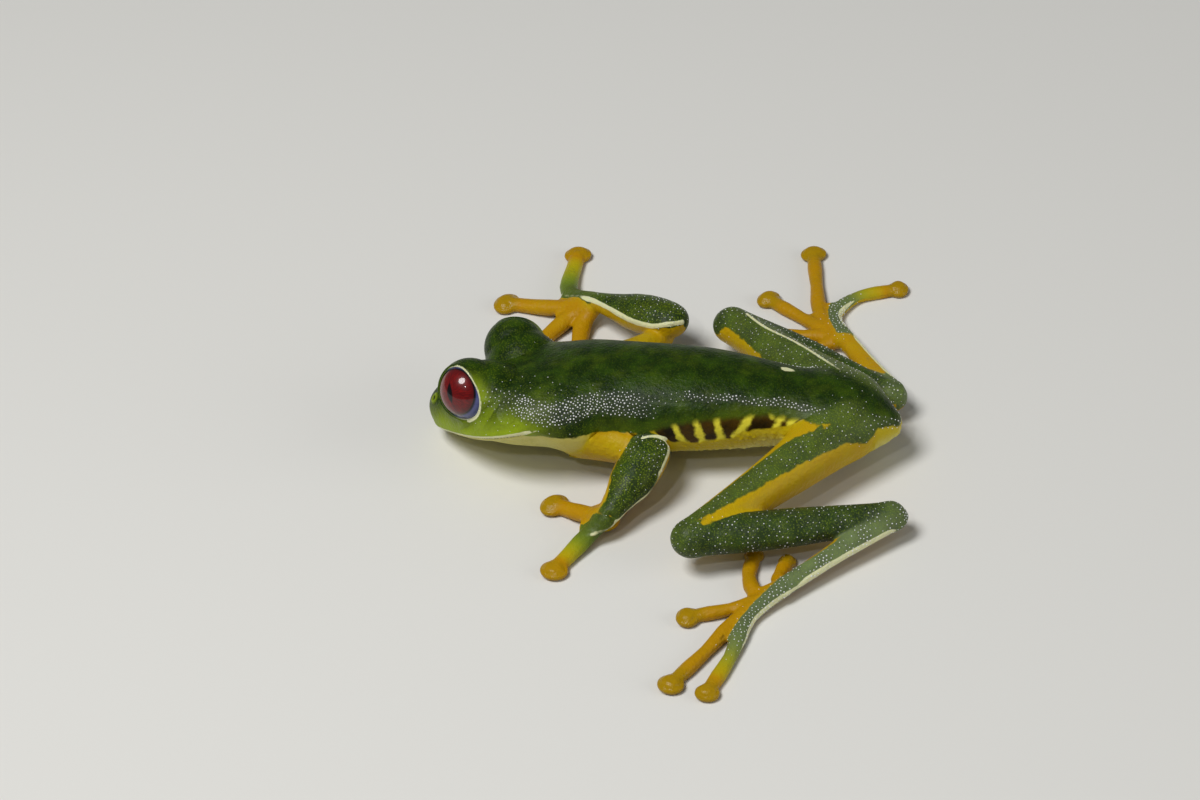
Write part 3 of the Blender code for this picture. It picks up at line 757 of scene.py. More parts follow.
# The glistening band down each side, where the skin is painted greyer as a painted sheen and its granules
# are painted as glints: its middle line over the head, then on the trunk its height as an angle, half its
# width and how thickly it is set.
HEAD_BAND = ((4.8, 7.0, 1.0), (3.2, 6.9, 0.2), (1.6, 7.1, -0.5), (0.3, 7.2, -1.2), (-1.9, 6.6, -2.0),
             (-3.7, 5.2, -2.1), (-5.0, 4.2, -2.2))
SPECK_ANGLE = ((3, 45), (5, 46), (7.7, 45), (10.3, 48), (13.2, 45), (16.3, 47), (18.5, 43), (20, 46),
               (22, 41), (23.5, 29), (25, 31), (28, 32), (30, 33), (32, 24), (34, 20), (36, 21),
               (37.5, 28), (39, 35))
SPECK_HALF_WIDTH = ((3, 0.6), (8, 0.45), (14, 0.45), (20, 0.5), (21.8, 0.5), (23, 1.1), (24.5, 1.4),
                    (28, 1.3), (30, 1.0), (32, 1.15), (36, 1.4))
SPECK_SHARE = ((2, 0.4), (5, 0.7), (10, 0.85), (20, 0.9), (21.3, 0.3), (22.6, 0.15), (24, 0.45),
               (26, 0.95), (40, 1))
RIGHT_BAND_DROP = 13  # degrees
DIGIT_WARMTH = {"hand": 0.78, "foot": 0.84}
FOOT_LINE = {"left": 0.44, "right": 0.28}  # half the width of the pale line down each foot
RIM_HALF_WIDTH = 0.1  # of the pale rim round an eye's opening
RIM_REACH = 3.7
BLEND = 0.16  # how far one part's markings run into the next, in millimetres
# White on the back: one spot, and flecks as small as a grain of sand.
BACK_SPOT = Vector((10.8, -1.75, 9.7))
BACK_SPOT_RADII = (0.85, 0.48, 0.9)
FLECK_RADIUS = 0.1
FLECKS = ((41.3, -1.2, 9.9), (40.1, -1.0, 9.3), (38.6, 1.7, 9.7), (38.3, -1.3, 9.0),
          (36.2, -0.4, 9.6), (27.8, -0.8, 11.4), (24.6, 1.1, 11.3), (20.9, -1.6, 11.0))

spots = spots_of(skin.data)
lifted = spots + [0, 0, FOOT_SINK]
on_head = either_side(to_head(lifted))
count = len(spots)
# Distances are green, brown, bars, line and the painted shade in mouth and nostrils. The rest are shares
# of 1, and fade is how far the green gives way to the colour under it.
fields = ("green", "warm", "pale", "grey", "speck", "pebble", "brown", "bars", "line", "dark", "fade")
parts = []  # each part's height over the surface, and what it says of every field


def part_says(over, **says):
    """Adds a part, with what it says of each field. It leaves the others at their plain values."""
    plain = dict.fromkeys(fields, -1.0) | dict(warm=0.7, pale=0.3, grey=0.0, speck=0.0, pebble=0.2, fade=0.0)
    plain.update(says)
    parts.append((over, [np.clip(np.broadcast_to(plain[name], count), -1.5, 1.5) for name in fields]))


# The trunk's own markings.
height, angle, over, radius = read_trunk(lifted)
forward = lifted[:, 0]
to_green = np.radians(angle - read_table(forward, GREEN_EDGE)) * radius
bars = np.full(count, -1.0)
for start, end, half in BARS:
    flat = np.stack([forward, height, np.zeros(count)], axis=1)
    bars = np.maximum(bars, half - gap_to_run(flat, np.array([(*start, 0.0), (*end, 0.0)])))
brown = height - read_table(forward, BROWN_FLOOR)
brown = np.minimum(brown, np.minimum(forward - BROWN_REACH[0], BROWN_REACH[1] - forward))
white = 0.4 * (1 - np.linalg.norm((lifted - np.array(BACK_SPOT)) / BACK_SPOT_RADII, axis=1))
for fleck in FLECKS:
    white = np.maximum(white, FLECK_RADIUS - np.linalg.norm(lifted - np.array(fleck), axis=1))
lower = RIGHT_BAND_DROP * (lifted[:, 1] < 0)
from_band = np.radians(angle + lower - read_table(forward, SPECK_ANGLE)) * radius
ridges = np.full(count, -1.0)
for half, way in PALE_RIDGES:
    ridges = np.maximum(ridges, half + 0.09 - gap_to_run(lifted, curve_through(way, 4)))
wide = read_table(forward, SPECK_HALF_WIDTH)
warmth = FLANK_WARMTH + (ARMPIT_WARMTH - FLANK_WARMTH) * smooth_step(23, 25.5, forward)
low = 1 - smooth_step(-2.8, -0.8, height - read_table(forward, CREAM_TOP))
part_says(
    over,
    green=to_green,
    warm=warmth * (1 - low) + BELLY_WARMTH * low,
    pale=0.10 * (1 - smooth_step(0.0, 2.2, to_green)),
    speck=(1 - smooth_step(wide * 0.7, wide * 1.2, np.abs(from_band))) * read_table(forward, SPECK_SHARE),
    brown=brown,
    bars=bars,
    line=np.maximum(white, ridges),
)

# The head's: cream lips and throat, and a face that pales to yellow-green below and behind the eye. The
# pale patch right behind each eye is partly the skin's paler tone and partly a painted highlight.
above_mouth = on_head[:, 2] - MOUTH_LEVEL
lip_end = smooth_step(-1.0, 2.0, on_head[:, 0])
face = 1 - smooth_step(0.6, 3.6, above_mouth)
cheek = hump(on_head[:, 0], 1.6, 3.4) * hump(on_head[:, 2], -0.7, 1.9)
beside_band = 1 - smooth_step(0.9, 1.6, gap_to_run(on_head, curve_through(HEAD_BAND)))
beside_band *= 1 - 0.65 * smooth_step(1.2, 3.0, on_head[:, 0])
lip = (0.3 * lip_end - 0.06) - np.abs(above_mouth - 0.22)
rim = np.full(count, -1.0)
pale_and_highlight_behind_eye = np.zeros(count)
for side in SIDES.values():
    _, _, reach, outside, seen = read_lids(lifted, side)
    pale_rim = RIM_HALF_WIDTH - np.abs(outside) - smooth_step(-0.1, 0.3, seen[:, 0])
    rim = np.maximum(rim, np.where(reach < RIM_REACH, pale_rim, -1))
    # Behind each eye a pale patch, partly the skin's own pale tone and partly a painted highlight.
    pale_highlight_patch = hump(outside, 0.3, 0.7) * smooth_step(-0.2, -0.5, seen[:, 0]) * hump(seen[:, 1], -0.1, 0.5)
    pale_and_highlight_behind_eye = np.maximum(pale_and_highlight_behind_eye, 0.75 * pale_highlight_patch * (reach < 5))
from_nostril = np.linalg.norm(on_head - np.array(NOSTRIL), axis=1)
# A thin dark line along the mouth's crease and a dark spot in each nostril: painted shade.
crease = (0.06 - np.abs(above_mouth + 0.05)) - (on_head[:, 0] < MOUTH_END)
face_green = on_head[:, 2] - read_table(on_head[:, 0], FACE_EDGE)
over_head, over_dome = read_head(on_head)
part_says(
    np.minimum(over_head, over_dome),
    green=face_green,
    warm=0.05 + 0.15 * (1 - lip_end),
    pale=np.clip(0.78 * face + 0.12 * cheek, 0, 1) * smooth_step(-3, 3, on_head[:, 0]) + pale_and_highlight_behind_eye
    + 0.6 * hump(from_nostril, 0.45, 0.22),
    speck=np.clip(beside_band + 0.12 * cheek, 0, 1) * (on_head[:, 1] > 3) * (face_green > 0.2),
    pebble=0.45,
    line=np.maximum.reduce((rim, lip, white, ridges)),
    dark=np.maximum(0.3 - from_nostril, crease),
)

# The limbs', each green between two lines along it and specked in clumps of granules, painted with glints and
# sheen.
waves = np.sin(1.7 * spots[:, 0] + 0.9 * spots[:, 1]) * np.sin(1.6 * spots[:, 1] - 0.8 * spots[:, 0])
clumps = np.clip(0.5 + 0.7 * waves, 0.06, 1)
for name, (first, last, sizes) in LIMBS.items():
    for side in SIDES:
        share, angle, over, radius = read_limb(lifted, (first[side], last[side]), sizes)
        line = ridges
        if name == "upper_arm":
            green = -0.9 + 1.6 * smooth_step(0.72, 0.92, share) * smooth_step(-0.5, 0.8, lifted[:, 2] - 4)
            green = np.where(side == "left", green, -0.9)
        else:
            places, lows, highs = zip(*GREEN_ROUND[name][side])
            start, end = np.interp(share, places, lows), np.interp(share, places, highs)
            turn = np.abs((angle - (start + end) / 2 + 180) % 360 - 180)
            green = np.radians((end - start) / 2 - turn) * radius
        if name == "thigh":
            green = np.maximum(green, to_green)
        if name == "tarsus":
            ridge_angle = np.interp(share, (0, 1), FOOT_RIDGE[side][:2])
            line = FOOT_LINE[side] - np.abs(arc_from(angle, ridge_angle, radius))
        warm, pale, grey, specks, pebble = LIMB_LOOKS[name]
        speck = specks * smooth_step(-0.2, 0.8, green) * clumps
        if name == "forearm":
            speck *= 1.2 - 1.0 * smooth_step(0.12, 0.4, share)
        if name == "upper_arm" and side == "right":
            over = over + 1.4 * smooth_step(0.5, 0.8, share)  # the forearm's markings win at the elbow
        part_says(over, green=green, warm=warm, pale=pale, grey=grey, speck=speck, pebble=pebble, line=line)

# The digits': the outer one is green along its top and wins over the rest near the root. The rest are
# orange, and the discs more golden.
for paw, (start, digits, widths, sizes, _) in PAWS.items():
    for side in SIDES:
        for i, points in enumerate(digits[side]):
            share, angle, over, radius = read_limb(lifted, (start[side], *points), sizes)
            outer = i == len(widths) - 1
            green = -1.0
            line = ridges
            if paw == "foot":
                half = 0.36 - 0.5 * smooth_step(0.35, 0.8, share)
                line = half - np.abs(arc_from(angle, FOOT_RIDGE[side][2], radius))
            if outer:
                green = np.radians(124 - np.abs(angle - 90)) * radius
            warm = DIGIT_WARMTH[paw]
            part_says(
                over + (0 if outer else 0.3 * (1 - smooth_step(0.1, 0.35, share))),
                green=green,
                warm=warm - 0.26 * outer + (0.22 + 0.2 * outer) * smooth_step(0.82, 0.97, share),
                pale=0.15 + 0.55 * smooth_step(0.35, 0.8, share),
                grey=(0.8 if paw == "foot" else 0.15) * (1 - smooth_step(0.5, 0.85, share)),
                speck=0.6 * outer * (paw == "foot") * (1 - smooth_step(0.4, 0.75, share)),
                line=line if outer or paw == "hand" else -1.0,
                fade=outer * smooth_step(0.55, 0.95, share),
            )

weights = np.stack([np.exp(-np.clip(over, -0.3, 4.0) / BLEND) for over, _ in parts])
weights /= weights.sum(0)
told = {
    name: sum(weight * says[i] for weight, (_, says) in zip(weights, parts)).astype(np.float32)
    for i, name in enumerate(fields)
}


def store(mesh, name, values):
    """Gives each vertex of the mesh its value, for a material or for the granules to read."""
    layer = mesh.attributes.new(name, "FLOAT", "POINT")
    layer.data.foreach_set("value", np.asarray(values, np.float32))


for name in fields:
    store(skin.data, name, told[name])

# The skin's place in the room: the frog's head points to -X and its left side to -Y.
MM = 0.001
low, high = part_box("eye_left")
eye = to_body(EYE_CENTRE)
SHIFT = (low + high) / 2 - Vector((-eye.x, -eye.y, eye.z - FOOT_SINK)) * MM
SHIFT.z = 0


def set_in_room(obj, sink=0.0):
    """From the frog's own millimetres to metres in the room, lowered first by the sink."""
    obj.data.transform(Matrix.Translation((0, 0, -sink)))
    obj.data.transform(Matrix.Translation(SHIFT) @ Matrix.Diagonal((-MM, -MM, MM, 1)))
    obj.data.shade_smooth()


set_in_room(skin)


# What the skin looks like: moist and finely pebbled, so that it glistens. The paint follows the
# markings, and each edge is roughened a little by a fine noise.
DARK_GREEN = (0.008, 0.023, 0.001, 1)
MID_GREEN = (0.022, 0.052, 0.0015, 1)
PALE_GREEN = (0.32, 0.43, 0.010, 1)
GREY_GREEN = (0.19, 0.25, 0.11, 1)
CREAM = (0.63, 0.59, 0.18, 1)
YELLOW = (0.52, 0.40, 0.004, 1)
ORANGE = (0.47, 0.24, 0.001, 1)
DISC_GOLD = (0.37, 0.22, 0.003, 1)
BROWN = (0.060, 0.030, 0.001, 1)
BLACK_BROWN = (0.010, 0.006, 0.001, 1)
# A greyer green painted along the band of granules: a painted sheen of wet skin.
BAND_SHEEN_GREY = (0.055, 0.065, 0.050, 1)
BAR_YELLOW = (0.78, 0.70, 0.05, 1)
LINE_WHITE = (0.72, 0.72, 0.42, 1)
# Painted shade for the mouth's crease and the nostrils.
MOUTH_PAINTED_SHADE = (0.004, 0.004, 0.002, 1)


def set_socket(socket, value):
    """Links a node's input to another node's output, or sets it to a value."""
    if isinstance(value, bpy.types.NodeSocket):
        socket.id_data.links.new(value, socket)
    else:
        socket.default_value = value


def add_node(tree, kind, **settings):
    """A node, with its settings, and its inputs by name or number as i_0, i_1 and so on."""
    made = tree.nodes.new(kind)
    for name, value in settings.items():
        if name.startswith("i_"):
            key = name[2:]
            set_socket(made.inputs[int(key) if key.isdigit() else key], value)
        else:
            setattr(made, name, value)
    return made


def calculate(tree, operation, first, second=0.0, third=0.0, clamp=False):
    made = add_node(tree, "ShaderNodeMath", operation=operation, i_0=first, i_1=second, i_2=third)
    made.use_clamp = clamp
    return made.outputs[0]


def past_edge(tree, value, low, high):
    """0 below low, 1 above high and smooth between."""
    made = add_node(
        tree, "ShaderNodeMapRange", interpolation_type="SMOOTHSTEP", i_0=value, i_1=low, i_2=high
    )
    return made.outputs[0]


def mix_colour(tree, share, first, second):
    made = add_node(tree, "ShaderNodeMix", data_type="RGBA", i_0=share, i_6=first, i_7=second)
    return made.outputs[2]


def mix_number(tree, share, first, second):
    made = add_node(tree, "ShaderNodeMix", data_type="FLOAT", i_0=share, i_2=first, i_3=second)
    return made.outputs[0]


def noise_at(tree, where, scale, detail=3.0):
    made = add_node(tree, "ShaderNodeTexNoise", i_Vector=where, i_Scale=scale, i_Detail=detail)
    return made.outputs[0]


def new_material(name):
    made = bpy.data.materials.new(name)
    made.use_nodes = True
    return made, made.node_tree, made.node_tree.nodes["Principled BSDF"]


def set_inputs(surface, **values):
    for name, value in values.items():
        set_socket(surface.inputs[name.replace("_", " ")], value)


paint, tree, surface = new_material("frog skin")
place = add_node(tree, "ShaderNodeTexCoord").outputs["Object"]
field = {
    name: add_node(tree, "ShaderNodeAttribute", attribute_name=name).outputs["Fac"] for name in fields
}
ragged = calculate(tree, "SUBTRACT", noise_at(tree, place, 1300.0, 4.0), 0.5)
coarse = calculate(tree, "SUBTRACT", noise_at(tree, place, 420.0, 3.0), 0.5)

# Green, darker on the back and paler on the face.
mottle = past_edge(tree, noise_at(tree, place, 520.0, 5.0), 0.38, 0.68)
green = mix_colour(tree, mottle, DARK_GREEN, MID_GREEN)
paleness = calculate(tree, "MULTIPLY_ADD", coarse, 0.35, field["pale"], clamp=True)
green = mix_colour(tree, paleness, green, PALE_GREEN)
greyness = calculate(tree, "MULTIPLY", field["grey"], 0.75, clamp=True)
green = mix_colour(tree, greyness, green, GREY_GREEN)
# Along the band of granules the green is greyed: a painted sheen.
band_sheen = calculate(tree, "MULTIPLY", field["speck"], 0.5, clamp=True)
green = mix_colour(tree, band_sheen, green, BAND_SHEEN_GREY)
# Each pebble of the green skin has a paler crown.
crowns = add_node(tree, "ShaderNodeTexVoronoi", i_Vector=place, i_Scale=4800.0)
crown = calculate(tree, "MULTIPLY", past_edge(tree, crowns.outputs["Distance"], 0.5, 0.1), 0.42)
green = mix_colour(tree, calculate(tree, "MULTIPLY", crown, field["pebble"]), green, PALE_GREEN)

# Cream, yellow and orange, by warmth.
ramp = add_node(tree, "ShaderNodeValToRGB")
set_socket(ramp.inputs[0], calculate(tree, "MULTIPLY_ADD", coarse, 0.22, field["warm"]))
ramp.color_ramp.elements[0].position = 0.08
ramp.color_ramp.elements[0].color = CREAM
ramp.color_ramp.elements[1].position = 1.0
ramp.color_ramp.elements[1].color = DISC_GOLD
ramp.color_ramp.elements.new(0.46).color = YELLOW
ramp.color_ramp.elements.new(0.8).color = ORANGE

# The flank's brown, with its bars.
jagged = calculate(tree, "MULTIPLY_ADD", ragged, 0.8, field["bars"])
dark_brown = mix_colour(tree, past_edge(tree, coarse, -0.16, 0.12), BLACK_BROWN, BROWN)
flank = mix_colour(tree, past_edge(tree, jagged, -0.24, 0.18), dark_brown, BAR_YELLOW)
browned = calculate(tree, "MULTIPLY_ADD", coarse, 1.4, field["brown"])
under = mix_colour(tree, past_edge(tree, browned, -0.15, 0.2), ramp.outputs[0], flank)

# All of them together, then the pale lines, the specks and painted shade in the mouth's crease and the
# nostrils.
edge = calculate(tree, "MULTIPLY_ADD", ragged, 0.7, field["green"])
is_green = past_edge(tree, edge, -0.15, 0.13)
softly = past_edge(tree, edge, -0.55, 0.35)
beside_brown = past_edge(tree, field["brown"], -0.3, 0.5)
is_green = mix_number(tree, beside_brown, is_green, softly)
is_green = calculate(tree, "MULTIPLY", is_green, calculate(tree, "SUBTRACT", 1.0, field["fade"]))
colour = mix_colour(tree, is_green, under, green)
line = calculate(tree, "MULTIPLY_ADD", ragged, 0.12, field["line"])
is_line = past_edge(tree, line, -0.03, 0.05)
colour = mix_colour(tree, is_line, colour, LINE_WHITE)
is_dark = past_edge(tree, field["dark"], -0.02, 0.05)
colour = mix_colour(tree, is_dark, colour, MOUTH_PAINTED_SHADE)

# The grain: packed low pebbles with finer ones between, higher where the skin glistens.
pebbles = add_node(tree, "ShaderNodeTexVoronoi", feature="SMOOTH_F1", i_Vector=place, i_Scale=2600.0)
finer = add_node(tree, "ShaderNodeTexVoronoi", i_Vector=place, i_Scale=6500.0)
domes = calculate(tree, "SUBTRACT", 0.8, pebbles.outputs["Distance"])
small = calculate(tree, "SUBTRACT", 0.6, finer.outputs["Distance"])
amount = calculate(tree, "MULTIPLY_ADD", field["speck"], 0.7, 0.35)
grain = calculate(tree, "MULTIPLY", calculate(tree, "MULTIPLY_ADD", small, 0.35, domes), amount)
bump = add_node(tree, "ShaderNodeBump", i_Strength=1.0, i_Distance=0.0002, i_Height=grain)

# It is smoothest on the discs.
dullness = calculate(tree, "MULTIPLY_ADD", noise_at(tree, place, 900.0, 2.0), 0.22, 0.3)
on_disc = calculate(tree, "MULTIPLY", past_edge(tree, field["warm"], 0.86, 0.98), 0.2)
set_inputs(
    surface,
    Base_Color=colour,
    Normal=bump.outputs[0],
    Roughness=calculate(tree, "SUBTRACT", dullness, on_disc),
    Subsurface_Weight=0.1,
    Subsurface_Radius=(1.0, 0.6, 0.2),
    Subsurface_Scale=0.0006,
    Coat_Weight=0.05,
    Coat_Roughness=0.22,
    Specular_IOR_Level=0.13,
)
skin.data.materials.append(paint)
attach(skin, "root")
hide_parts(*(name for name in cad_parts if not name.startswith("eye")))


# The granules that glisten on the green: a wavy band along each side of the back, and more behind the
# eyes and along the limbs. Each is a tiny wet dome that stands on the skin.
GRANULES_ACROSS = 0.34  # the least distance between two, in millimetres
GRANULE_RADIUS = (0.055, 0.13)
GRANULE_DIM = (0.14, 0.24, 0.06, 1)
# The near-white granule colour is a painted glint: wet granules coloured as if each caught a lamp.
GRANULE_GLINT_WHITE = (0.90, 0.93, 0.82, 1)
LOWEST_GRANULE = 0.15  # over the floor
TRIES = 60000

draw = np.random.default_rng(8)
mesh = skin.data
mesh.calc_loop_triangles()
corners = np.empty(len(mesh.loop_triangles) * 3, np.int32)
mesh.loop_triangles.foreach_get("vertices", corners)
corners = corners.reshape(-1, 3)
spots = spots_of(mesh)
sides = spots[corners]
area = np.linalg.norm(np.cross(sides[:, 1] - sides[:, 0], sides[:, 2] - sides[:, 0]), axis=1)
likely = np.clip(told["speck"][corners].mean(1), 0, 1) * area * (sides[:, :, 2].min(1) > LOWEST_GRANULE * MM)
picked = draw.choice(len(corners), TRIES, p=likely / likely.sum())
shares = draw.dirichlet((1, 1, 1), TRIES)
places = (sides[picked] * shares[:, :, None]).sum(1)
density = (told["speck"][corners[picked]] * shares).sum(1)
taken = {}
kept = []
cell = GRANULES_ACROSS * MM
for i, spot in enumerate(places):
    room = cell * draw.uniform(0.7, 1.15) / np.sqrt(np.clip(density[i], 0.1, 1))
    key = tuple((spot // (cell * 2)).astype(int))
    near = [
        places[j]
        for x in (-1, 0, 1)
        for y in (-1, 0, 1)
        for z in (-1, 0, 1)
        for j in taken.get((key[0] + x, key[1] + y, key[2] + z), ())
    ]
    if near and np.linalg.norm(np.array(near) - spot, axis=1).min() < room:
        continue
    taken.setdefault(key, []).append(i)
    kept.append(i)
seeds = bpy.data.meshes.new("granules")
seeds.vertices.add(len(kept))
seeds.vertices.foreach_set("co", places[kept].astype(np.float32).ravel())
granules = into_scene("granules", seeds)
spread = draw.beta(2, 3, len(kept)) * (GRANULE_RADIUS[1] - GRANULE_RADIUS[0]) + GRANULE_RADIUS[0]
spread *= 0.55 + 0.45 * np.clip(density[kept], 0, 1)
store(seeds, "size", spread * MM)
setting = bpy.data.node_groups.new("set granules", "GeometryNodeTree")
setting.interface.new_socket("Geometry", in_out="INPUT", socket_type="NodeSocketGeometry")
setting.interface.new_socket("Geometry", in_out="OUTPUT", socket_type="NodeSocketGeometry")
given = setting.nodes.new("NodeGroupInput")
result = setting.nodes.new("NodeGroupOutput")
dome = add_node(setting, "GeometryNodeMeshIcoSphere", i_Radius=1.0, i_Subdivisions=1)
size = add_node(setting, "GeometryNodeInputNamedAttribute", data_type="FLOAT", i_Name="size")
copies = add_node(
    setting,
    "GeometryNodeInstanceOnPoints",
    i_Points=given.outputs[0],
    i_Instance=dome.outputs[0],
    i_Scale=size.outputs[0],
)
solid = add_node(setting, "GeometryNodeRealizeInstances", i_Geometry=copies.outputs[0])
setting.links.new(solid.outputs[0], result.inputs[0])
granules.modifiers.new("Set", "NODES").node_group = setting
apply_modifiers(granules)
granules.data.shade_smooth()
granule_glint_paint, tree, surface = new_material("granule")
place = add_node(tree, "ShaderNodeTexCoord").outputs["Object"]
# A noise makes each granule dim green or near white. The near white is a painted glint.
tone = past_edge(tree, noise_at(tree, place, 3200.0, 1.0), 0.36, 0.62)
tone = mix_colour(tree, tone, GRANULE_DIM, GRANULE_GLINT_WHITE)
set_inputs(surface, Base_Color=tone, Roughness=0.2, Coat_Weight=0.6, Coat_Roughness=0.05)
granules.data.materials.append(granule_glint_paint)
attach(granules, "root")


# The eyes: glass-clear cornea over a crimson iris, with a narrow upright pupil. Outside the iris a black
# edge gives way to violet-grey, a painted bluish reflection round the eye's rim.
IRIS_REACH = 48.0
PUPIL_HALF_HEIGHT = 0.33
PUPIL_HALF_WIDTH = 0.10
CORNEA_RISE = 0.10
CORNEA_EDGE = 0.62  # the cosine of its reach from the gaze
IRIS_RED = (0.21, 0.004, 0.003, 1)
IRIS_DEEP = (0.085, 0.002, 0.003, 1)
EYE_BLACK = (0.0015, 0.0008, 0.002, 1)
EYE_VIOLET_REFLECTION = (0.08, 0.09, 0.27, 1)

glaze, tree, surface = new_material("eye")
looks = add_node(tree, "ShaderNodeAttribute", attribute_name="gaze").outputs["Vector"]
unit = add_node(tree, "ShaderNodeVectorMath", operation="NORMALIZE", i_0=looks).outputs[0]
front, upward, ahead = add_node(tree, "ShaderNodeSeparateXYZ", i_0=unit).outputs
off_gaze = calculate(tree, "MULTIPLY", calculate(tree, "ARCCOSINE", ahead), 180 / pi)
around = calculate(tree, "ARCTAN2", upward, front)
spoke_place = add_node(
    tree,
    "ShaderNodeCombineXYZ",
    i_0=calculate(tree, "MULTIPLY", off_gaze, 0.035),
    i_1=calculate(tree, "MULTIPLY", calculate(tree, "SINE", around), 7.0),
    i_2=calculate(tree, "MULTIPLY", calculate(tree, "COSINE", around), 7.0),
)
spokes = noise_at(tree, spoke_place.outputs[0], 3.2, 6.0)
iris = mix_colour(tree, past_edge(tree, spokes, 0.35, 0.7), IRIS_DEEP, IRIS_RED)
iris = mix_colour(tree, past_edge(tree, off_gaze, 36.0, 50.0), iris, IRIS_DEEP)
# Past the black edge the eye is painted violet-grey: a painted reflection.
beyond = mix_colour(tree, past_edge(tree, off_gaze, 50.0, 55.0), EYE_BLACK, EYE_VIOLET_REFLECTION)
ball = mix_colour(tree, past_edge(tree, off_gaze, IRIS_REACH - 1.5, IRIS_REACH + 1.5), iris, beyond)
tall = calculate(tree, "DIVIDE", upward, PUPIL_HALF_HEIGHT)
narrow = calculate(tree, "SUBTRACT", 1.0, calculate(tree, "MULTIPLY", tall, tall))
width = calculate(tree, "MULTIPLY", calculate(tree, "MAXIMUM", narrow, 0.0), PUPIL_HALF_WIDTH)
inside = calculate(tree, "SUBTRACT", width, calculate(tree, "ABSOLUTE", front))
ball = mix_colour(tree, past_edge(tree, inside, -0.03, -0.004), ball, IRIS_DEEP)
ball = mix_colour(tree, past_edge(tree, inside, -0.006, 0.008), ball, EYE_BLACK)
set_inputs(surface, Base_Color=ball, Roughness=0.3)
set_inputs(surface, Coat_Weight=0.8, Coat_Roughness=0.02, Specular_IOR_Level=0.15)

for name, side in SIDES.items():
    middle, axes = eye_frame(side)
    globe = bmesh.new()
    turned = Matrix(axes.T.tolist())
    bmesh.ops.create_uvsphere(globe, u_segments=128, v_segments=96, radius=EYE_RADIUS)
    directions = []
    for vert in globe.verts:
        direction = vert.co.normalized()
        directions.append(direction.copy())
        rise = CORNEA_RISE * max(0.0, (direction.z - CORNEA_EDGE) / (1 - CORNEA_EDGE)) ** 0.8
        vert.co = Vector(middle) + turned @ (direction * (EYE_RADIUS + rise))
    bmesh.ops.recalc_face_normals(globe, faces=globe.faces)
    eye = object_from(f"eyeball_{name}", globe)
    layer = eye.data.attributes.new("gaze", "FLOAT_VECTOR", "POINT")
    layer.data.foreach_set("vector", np.array(directions, np.float32).ravel())
    set_in_room(eye, FOOT_SINK)
    eye.data.materials.append(glaze)
    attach(eye, "root")
    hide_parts(f"eye_{name}")


# The lids' wet edges: a thin bare roll of skin round each opening, cream, and green in front. Each is
# run along the edge of the opening, where the lid meets the eyeball.
EDGE_THICKNESS = 0.085
FRONT_THICKNESS = 0.08
EDGE_DIM = (0.50, 0.52, 0.22, 1)
EDGE_CREAM = (0.80, 0.80, 0.62, 1)
EDGE_GREEN = (0.045, 0.090, 0.004, 1)
EDGE_STEPS = 120
EDGE_SIDES = 10
EDGE_LIFT = 0.08  # from the eyeball to the middle of the roll
EDGE_SMOOTHING = 10

rim_paint, tree, surface = new_material("lid edge")
place = add_node(tree, "ShaderNodeTexCoord").outputs["Object"]
tone = mix_colour(tree, noise_at(tree, place, 900.0), EDGE_DIM, EDGE_CREAM)
in_front = add_node(tree, "ShaderNodeAttribute", attribute_name="in_front").outputs["Fac"]
tone = mix_colour(tree, in_front, tone, EDGE_GREEN)
set_inputs(surface, Base_Color=tone, Roughness=0.3, Coat_Weight=0.5, Coat_Roughness=0.1)
for name, side in SIDES.items():
    middle, axes = eye_frame(side)
    rim = bmesh.new()
    centres = []
    for turn in np.linspace(-pi, pi, EDGE_STEPS, endpoint=False):
        wide = opening_at(turn) + 0.02
        local = np.array([cos(turn) * sin(wide), sin(turn) * sin(wide), cos(wide)])
        centres.append(middle + local @ axes * (EYE_RADIUS + EDGE_LIFT))
    for _ in range(EDGE_SMOOTHING):
        centres = [
            (centres[i - 1] + 2 * centre + centres[(i + 1) % EDGE_STEPS]) / 4
            for i, centre in enumerate(centres)
        ]
    rings = []
    shares = []
    for i, centre in enumerate(centres):
        along = Vector(centres[(i + 1) % EDGE_STEPS] - centres[i - 1]).normalized()
        ahead = (cos(2 * pi * i / EDGE_STEPS - pi) + 1) / 2
        thickness = EDGE_THICKNESS + (FRONT_THICKNESS - EDGE_THICKNESS) * ahead
        ring = bmesh.ops.create_circle(rim, segments=EDGE_SIDES, radius=thickness)["verts"]
        outward = Vector(centre - middle).normalized()
        side_way = along.cross(outward).normalized()
        turned = Matrix((side_way, outward, along)).transposed()
        for vert in ring:
            vert.co = Vector(centre) + turned @ vert.co
            shares.append(smooth_step(0.45, 0.75, ahead))
        rings.append(ring)
    for first, second in zip(rings, rings[1:] + rings[:1]):
        bmesh.ops.bridge_loops(rim, edges=edges_of(first) + edges_of(second))
    bmesh.ops.recalc_face_normals(rim, faces=rim.faces)
    edge = object_from(f"lid_edge_{name}", rim)
    store(edge.data, "in_front", shares)
    set_in_room(edge, FOOT_SINK)
    edge.data.materials.append(rim_paint)
    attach(edge, "root")


# The floor: one plain pale sheet, matt like painted board and wide enough to fill the picture. It is
# there for the frog to rest on and isn't part of it.
FLOOR_PALE = (0.74, 0.73, 0.69, 1)

sheet = bmesh.new()
bmesh.ops.create_grid(sheet, x_segments=1, y_segments=1, size=2.0)
floor = object_from("floor", sheet)
stone, tree, surface = new_material("floor")
set_inputs(surface, Base_Color=FLOOR_PALE, Roughness=0.7)
floor.data.materials.append(stone)


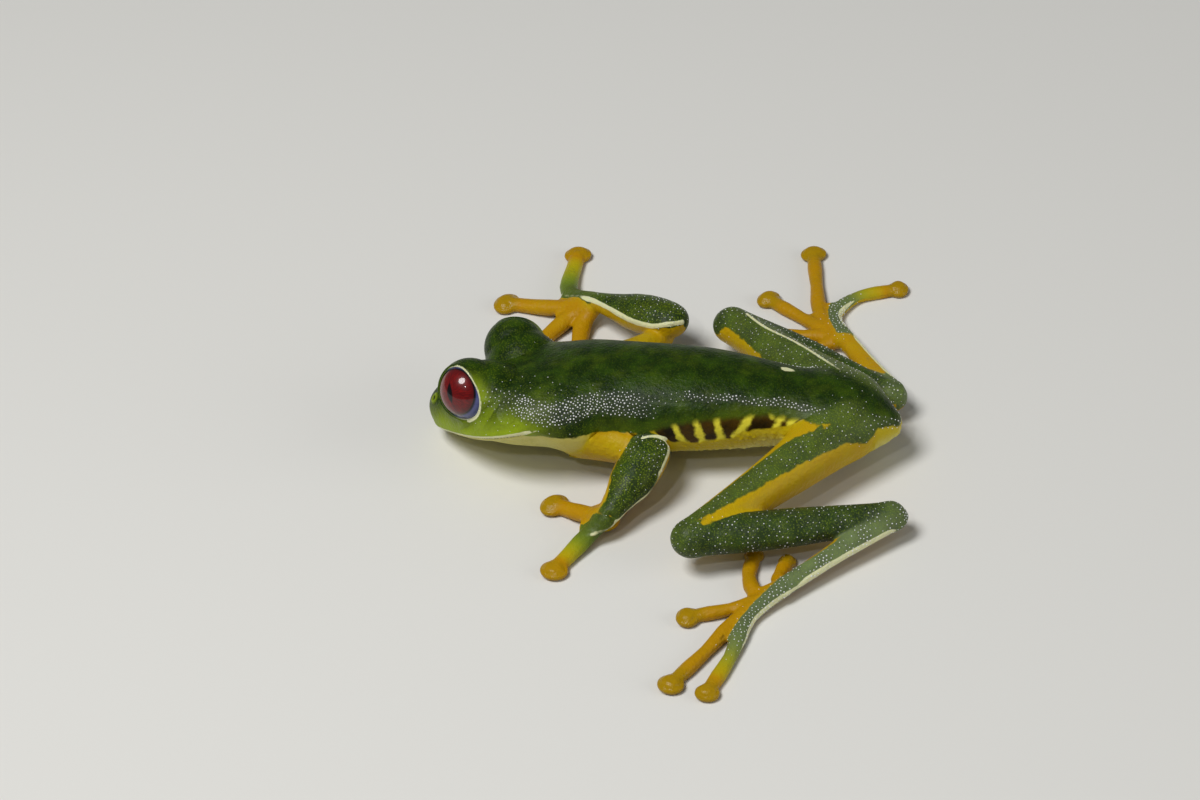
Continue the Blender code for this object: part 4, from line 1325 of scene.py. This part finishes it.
# The light: a soft panel overhead, a wider and weaker one to one side, a small lamp beside the camera
# for a second glint in the eye, and a dim grey room.
ROOM_GREY = (0.86, 0.89, 0.92, 1)
ROOM_LIGHT = 0.13
VIEW_TURN, VIEW_HEIGHT, VIEW_ROLL = (radians(angle) for angle in (17.5, 37.5, -7.0))
view = Vector((sin(VIEW_TURN) * cos(VIEW_HEIGHT), -cos(VIEW_TURN) * cos(VIEW_HEIGHT), sin(VIEW_HEIGHT)))
right = Vector((cos(VIEW_TURN), sin(VIEW_TURN), 0))
above = view.cross(right)
across = right * cos(VIEW_ROLL) + above * sin(VIEW_ROLL)
upright = above * cos(VIEW_ROLL) - right * sin(VIEW_ROLL)
AIM = Vector((-31.0, 0, 6.0)) * MM + SHIFT


def add_panel(name, away, size, power):
    """A round lamp of this size, away from the frog and turned to face it."""
    light = bpy.data.lights.new(name, "AREA")
    light.shape = "DISK"
    light.size = size
    light.energy = power
    lamp = into_scene(name, light)
    lamp.location = AIM + away
    lamp.rotation_euler = away.to_track_quat("Z", "Y").to_euler()


add_panel("main panel", Vector((-0.16, -0.16, 0.50)), 0.24, 2.3)
add_panel("side panel", view * 0.30 + across * 0.50 + upright * 0.05, 0.40, 0.8)
add_panel("glint lamp", view * 0.50 - across * 0.13 + upright * 0.10, 0.025, 0.2)
room = bpy.data.worlds.new("room")
bpy.context.scene.world = room
room.use_nodes = True
set_inputs(room.node_tree.nodes["Background"], Color=ROOM_GREY, Strength=ROOM_LIGHT)
bpy.context.scene.view_settings.view_transform = "Standard"


# The camera, above and a little behind the frog's left side and rolled a little, with a long lens as
# for any small animal.
VIEW_DISTANCE = 0.45
LENS = 126.4
FRAME_SHIFT = across * -0.0001 - upright * 0.00064  # puts the frog where it stands in the frame
lens = bpy.data.cameras.new("camera")
lens.lens = LENS
lens.sensor_width = 36.0
lens.clip_start = 0.01
camera = into_scene("camera", lens)
turned = Matrix((across, upright, view)).transposed().to_4x4()
camera.matrix_world = Matrix.Translation(AIM + FRAME_SHIFT + view * VIEW_DISTANCE) @ turned
bpy.context.scene.camera = camera
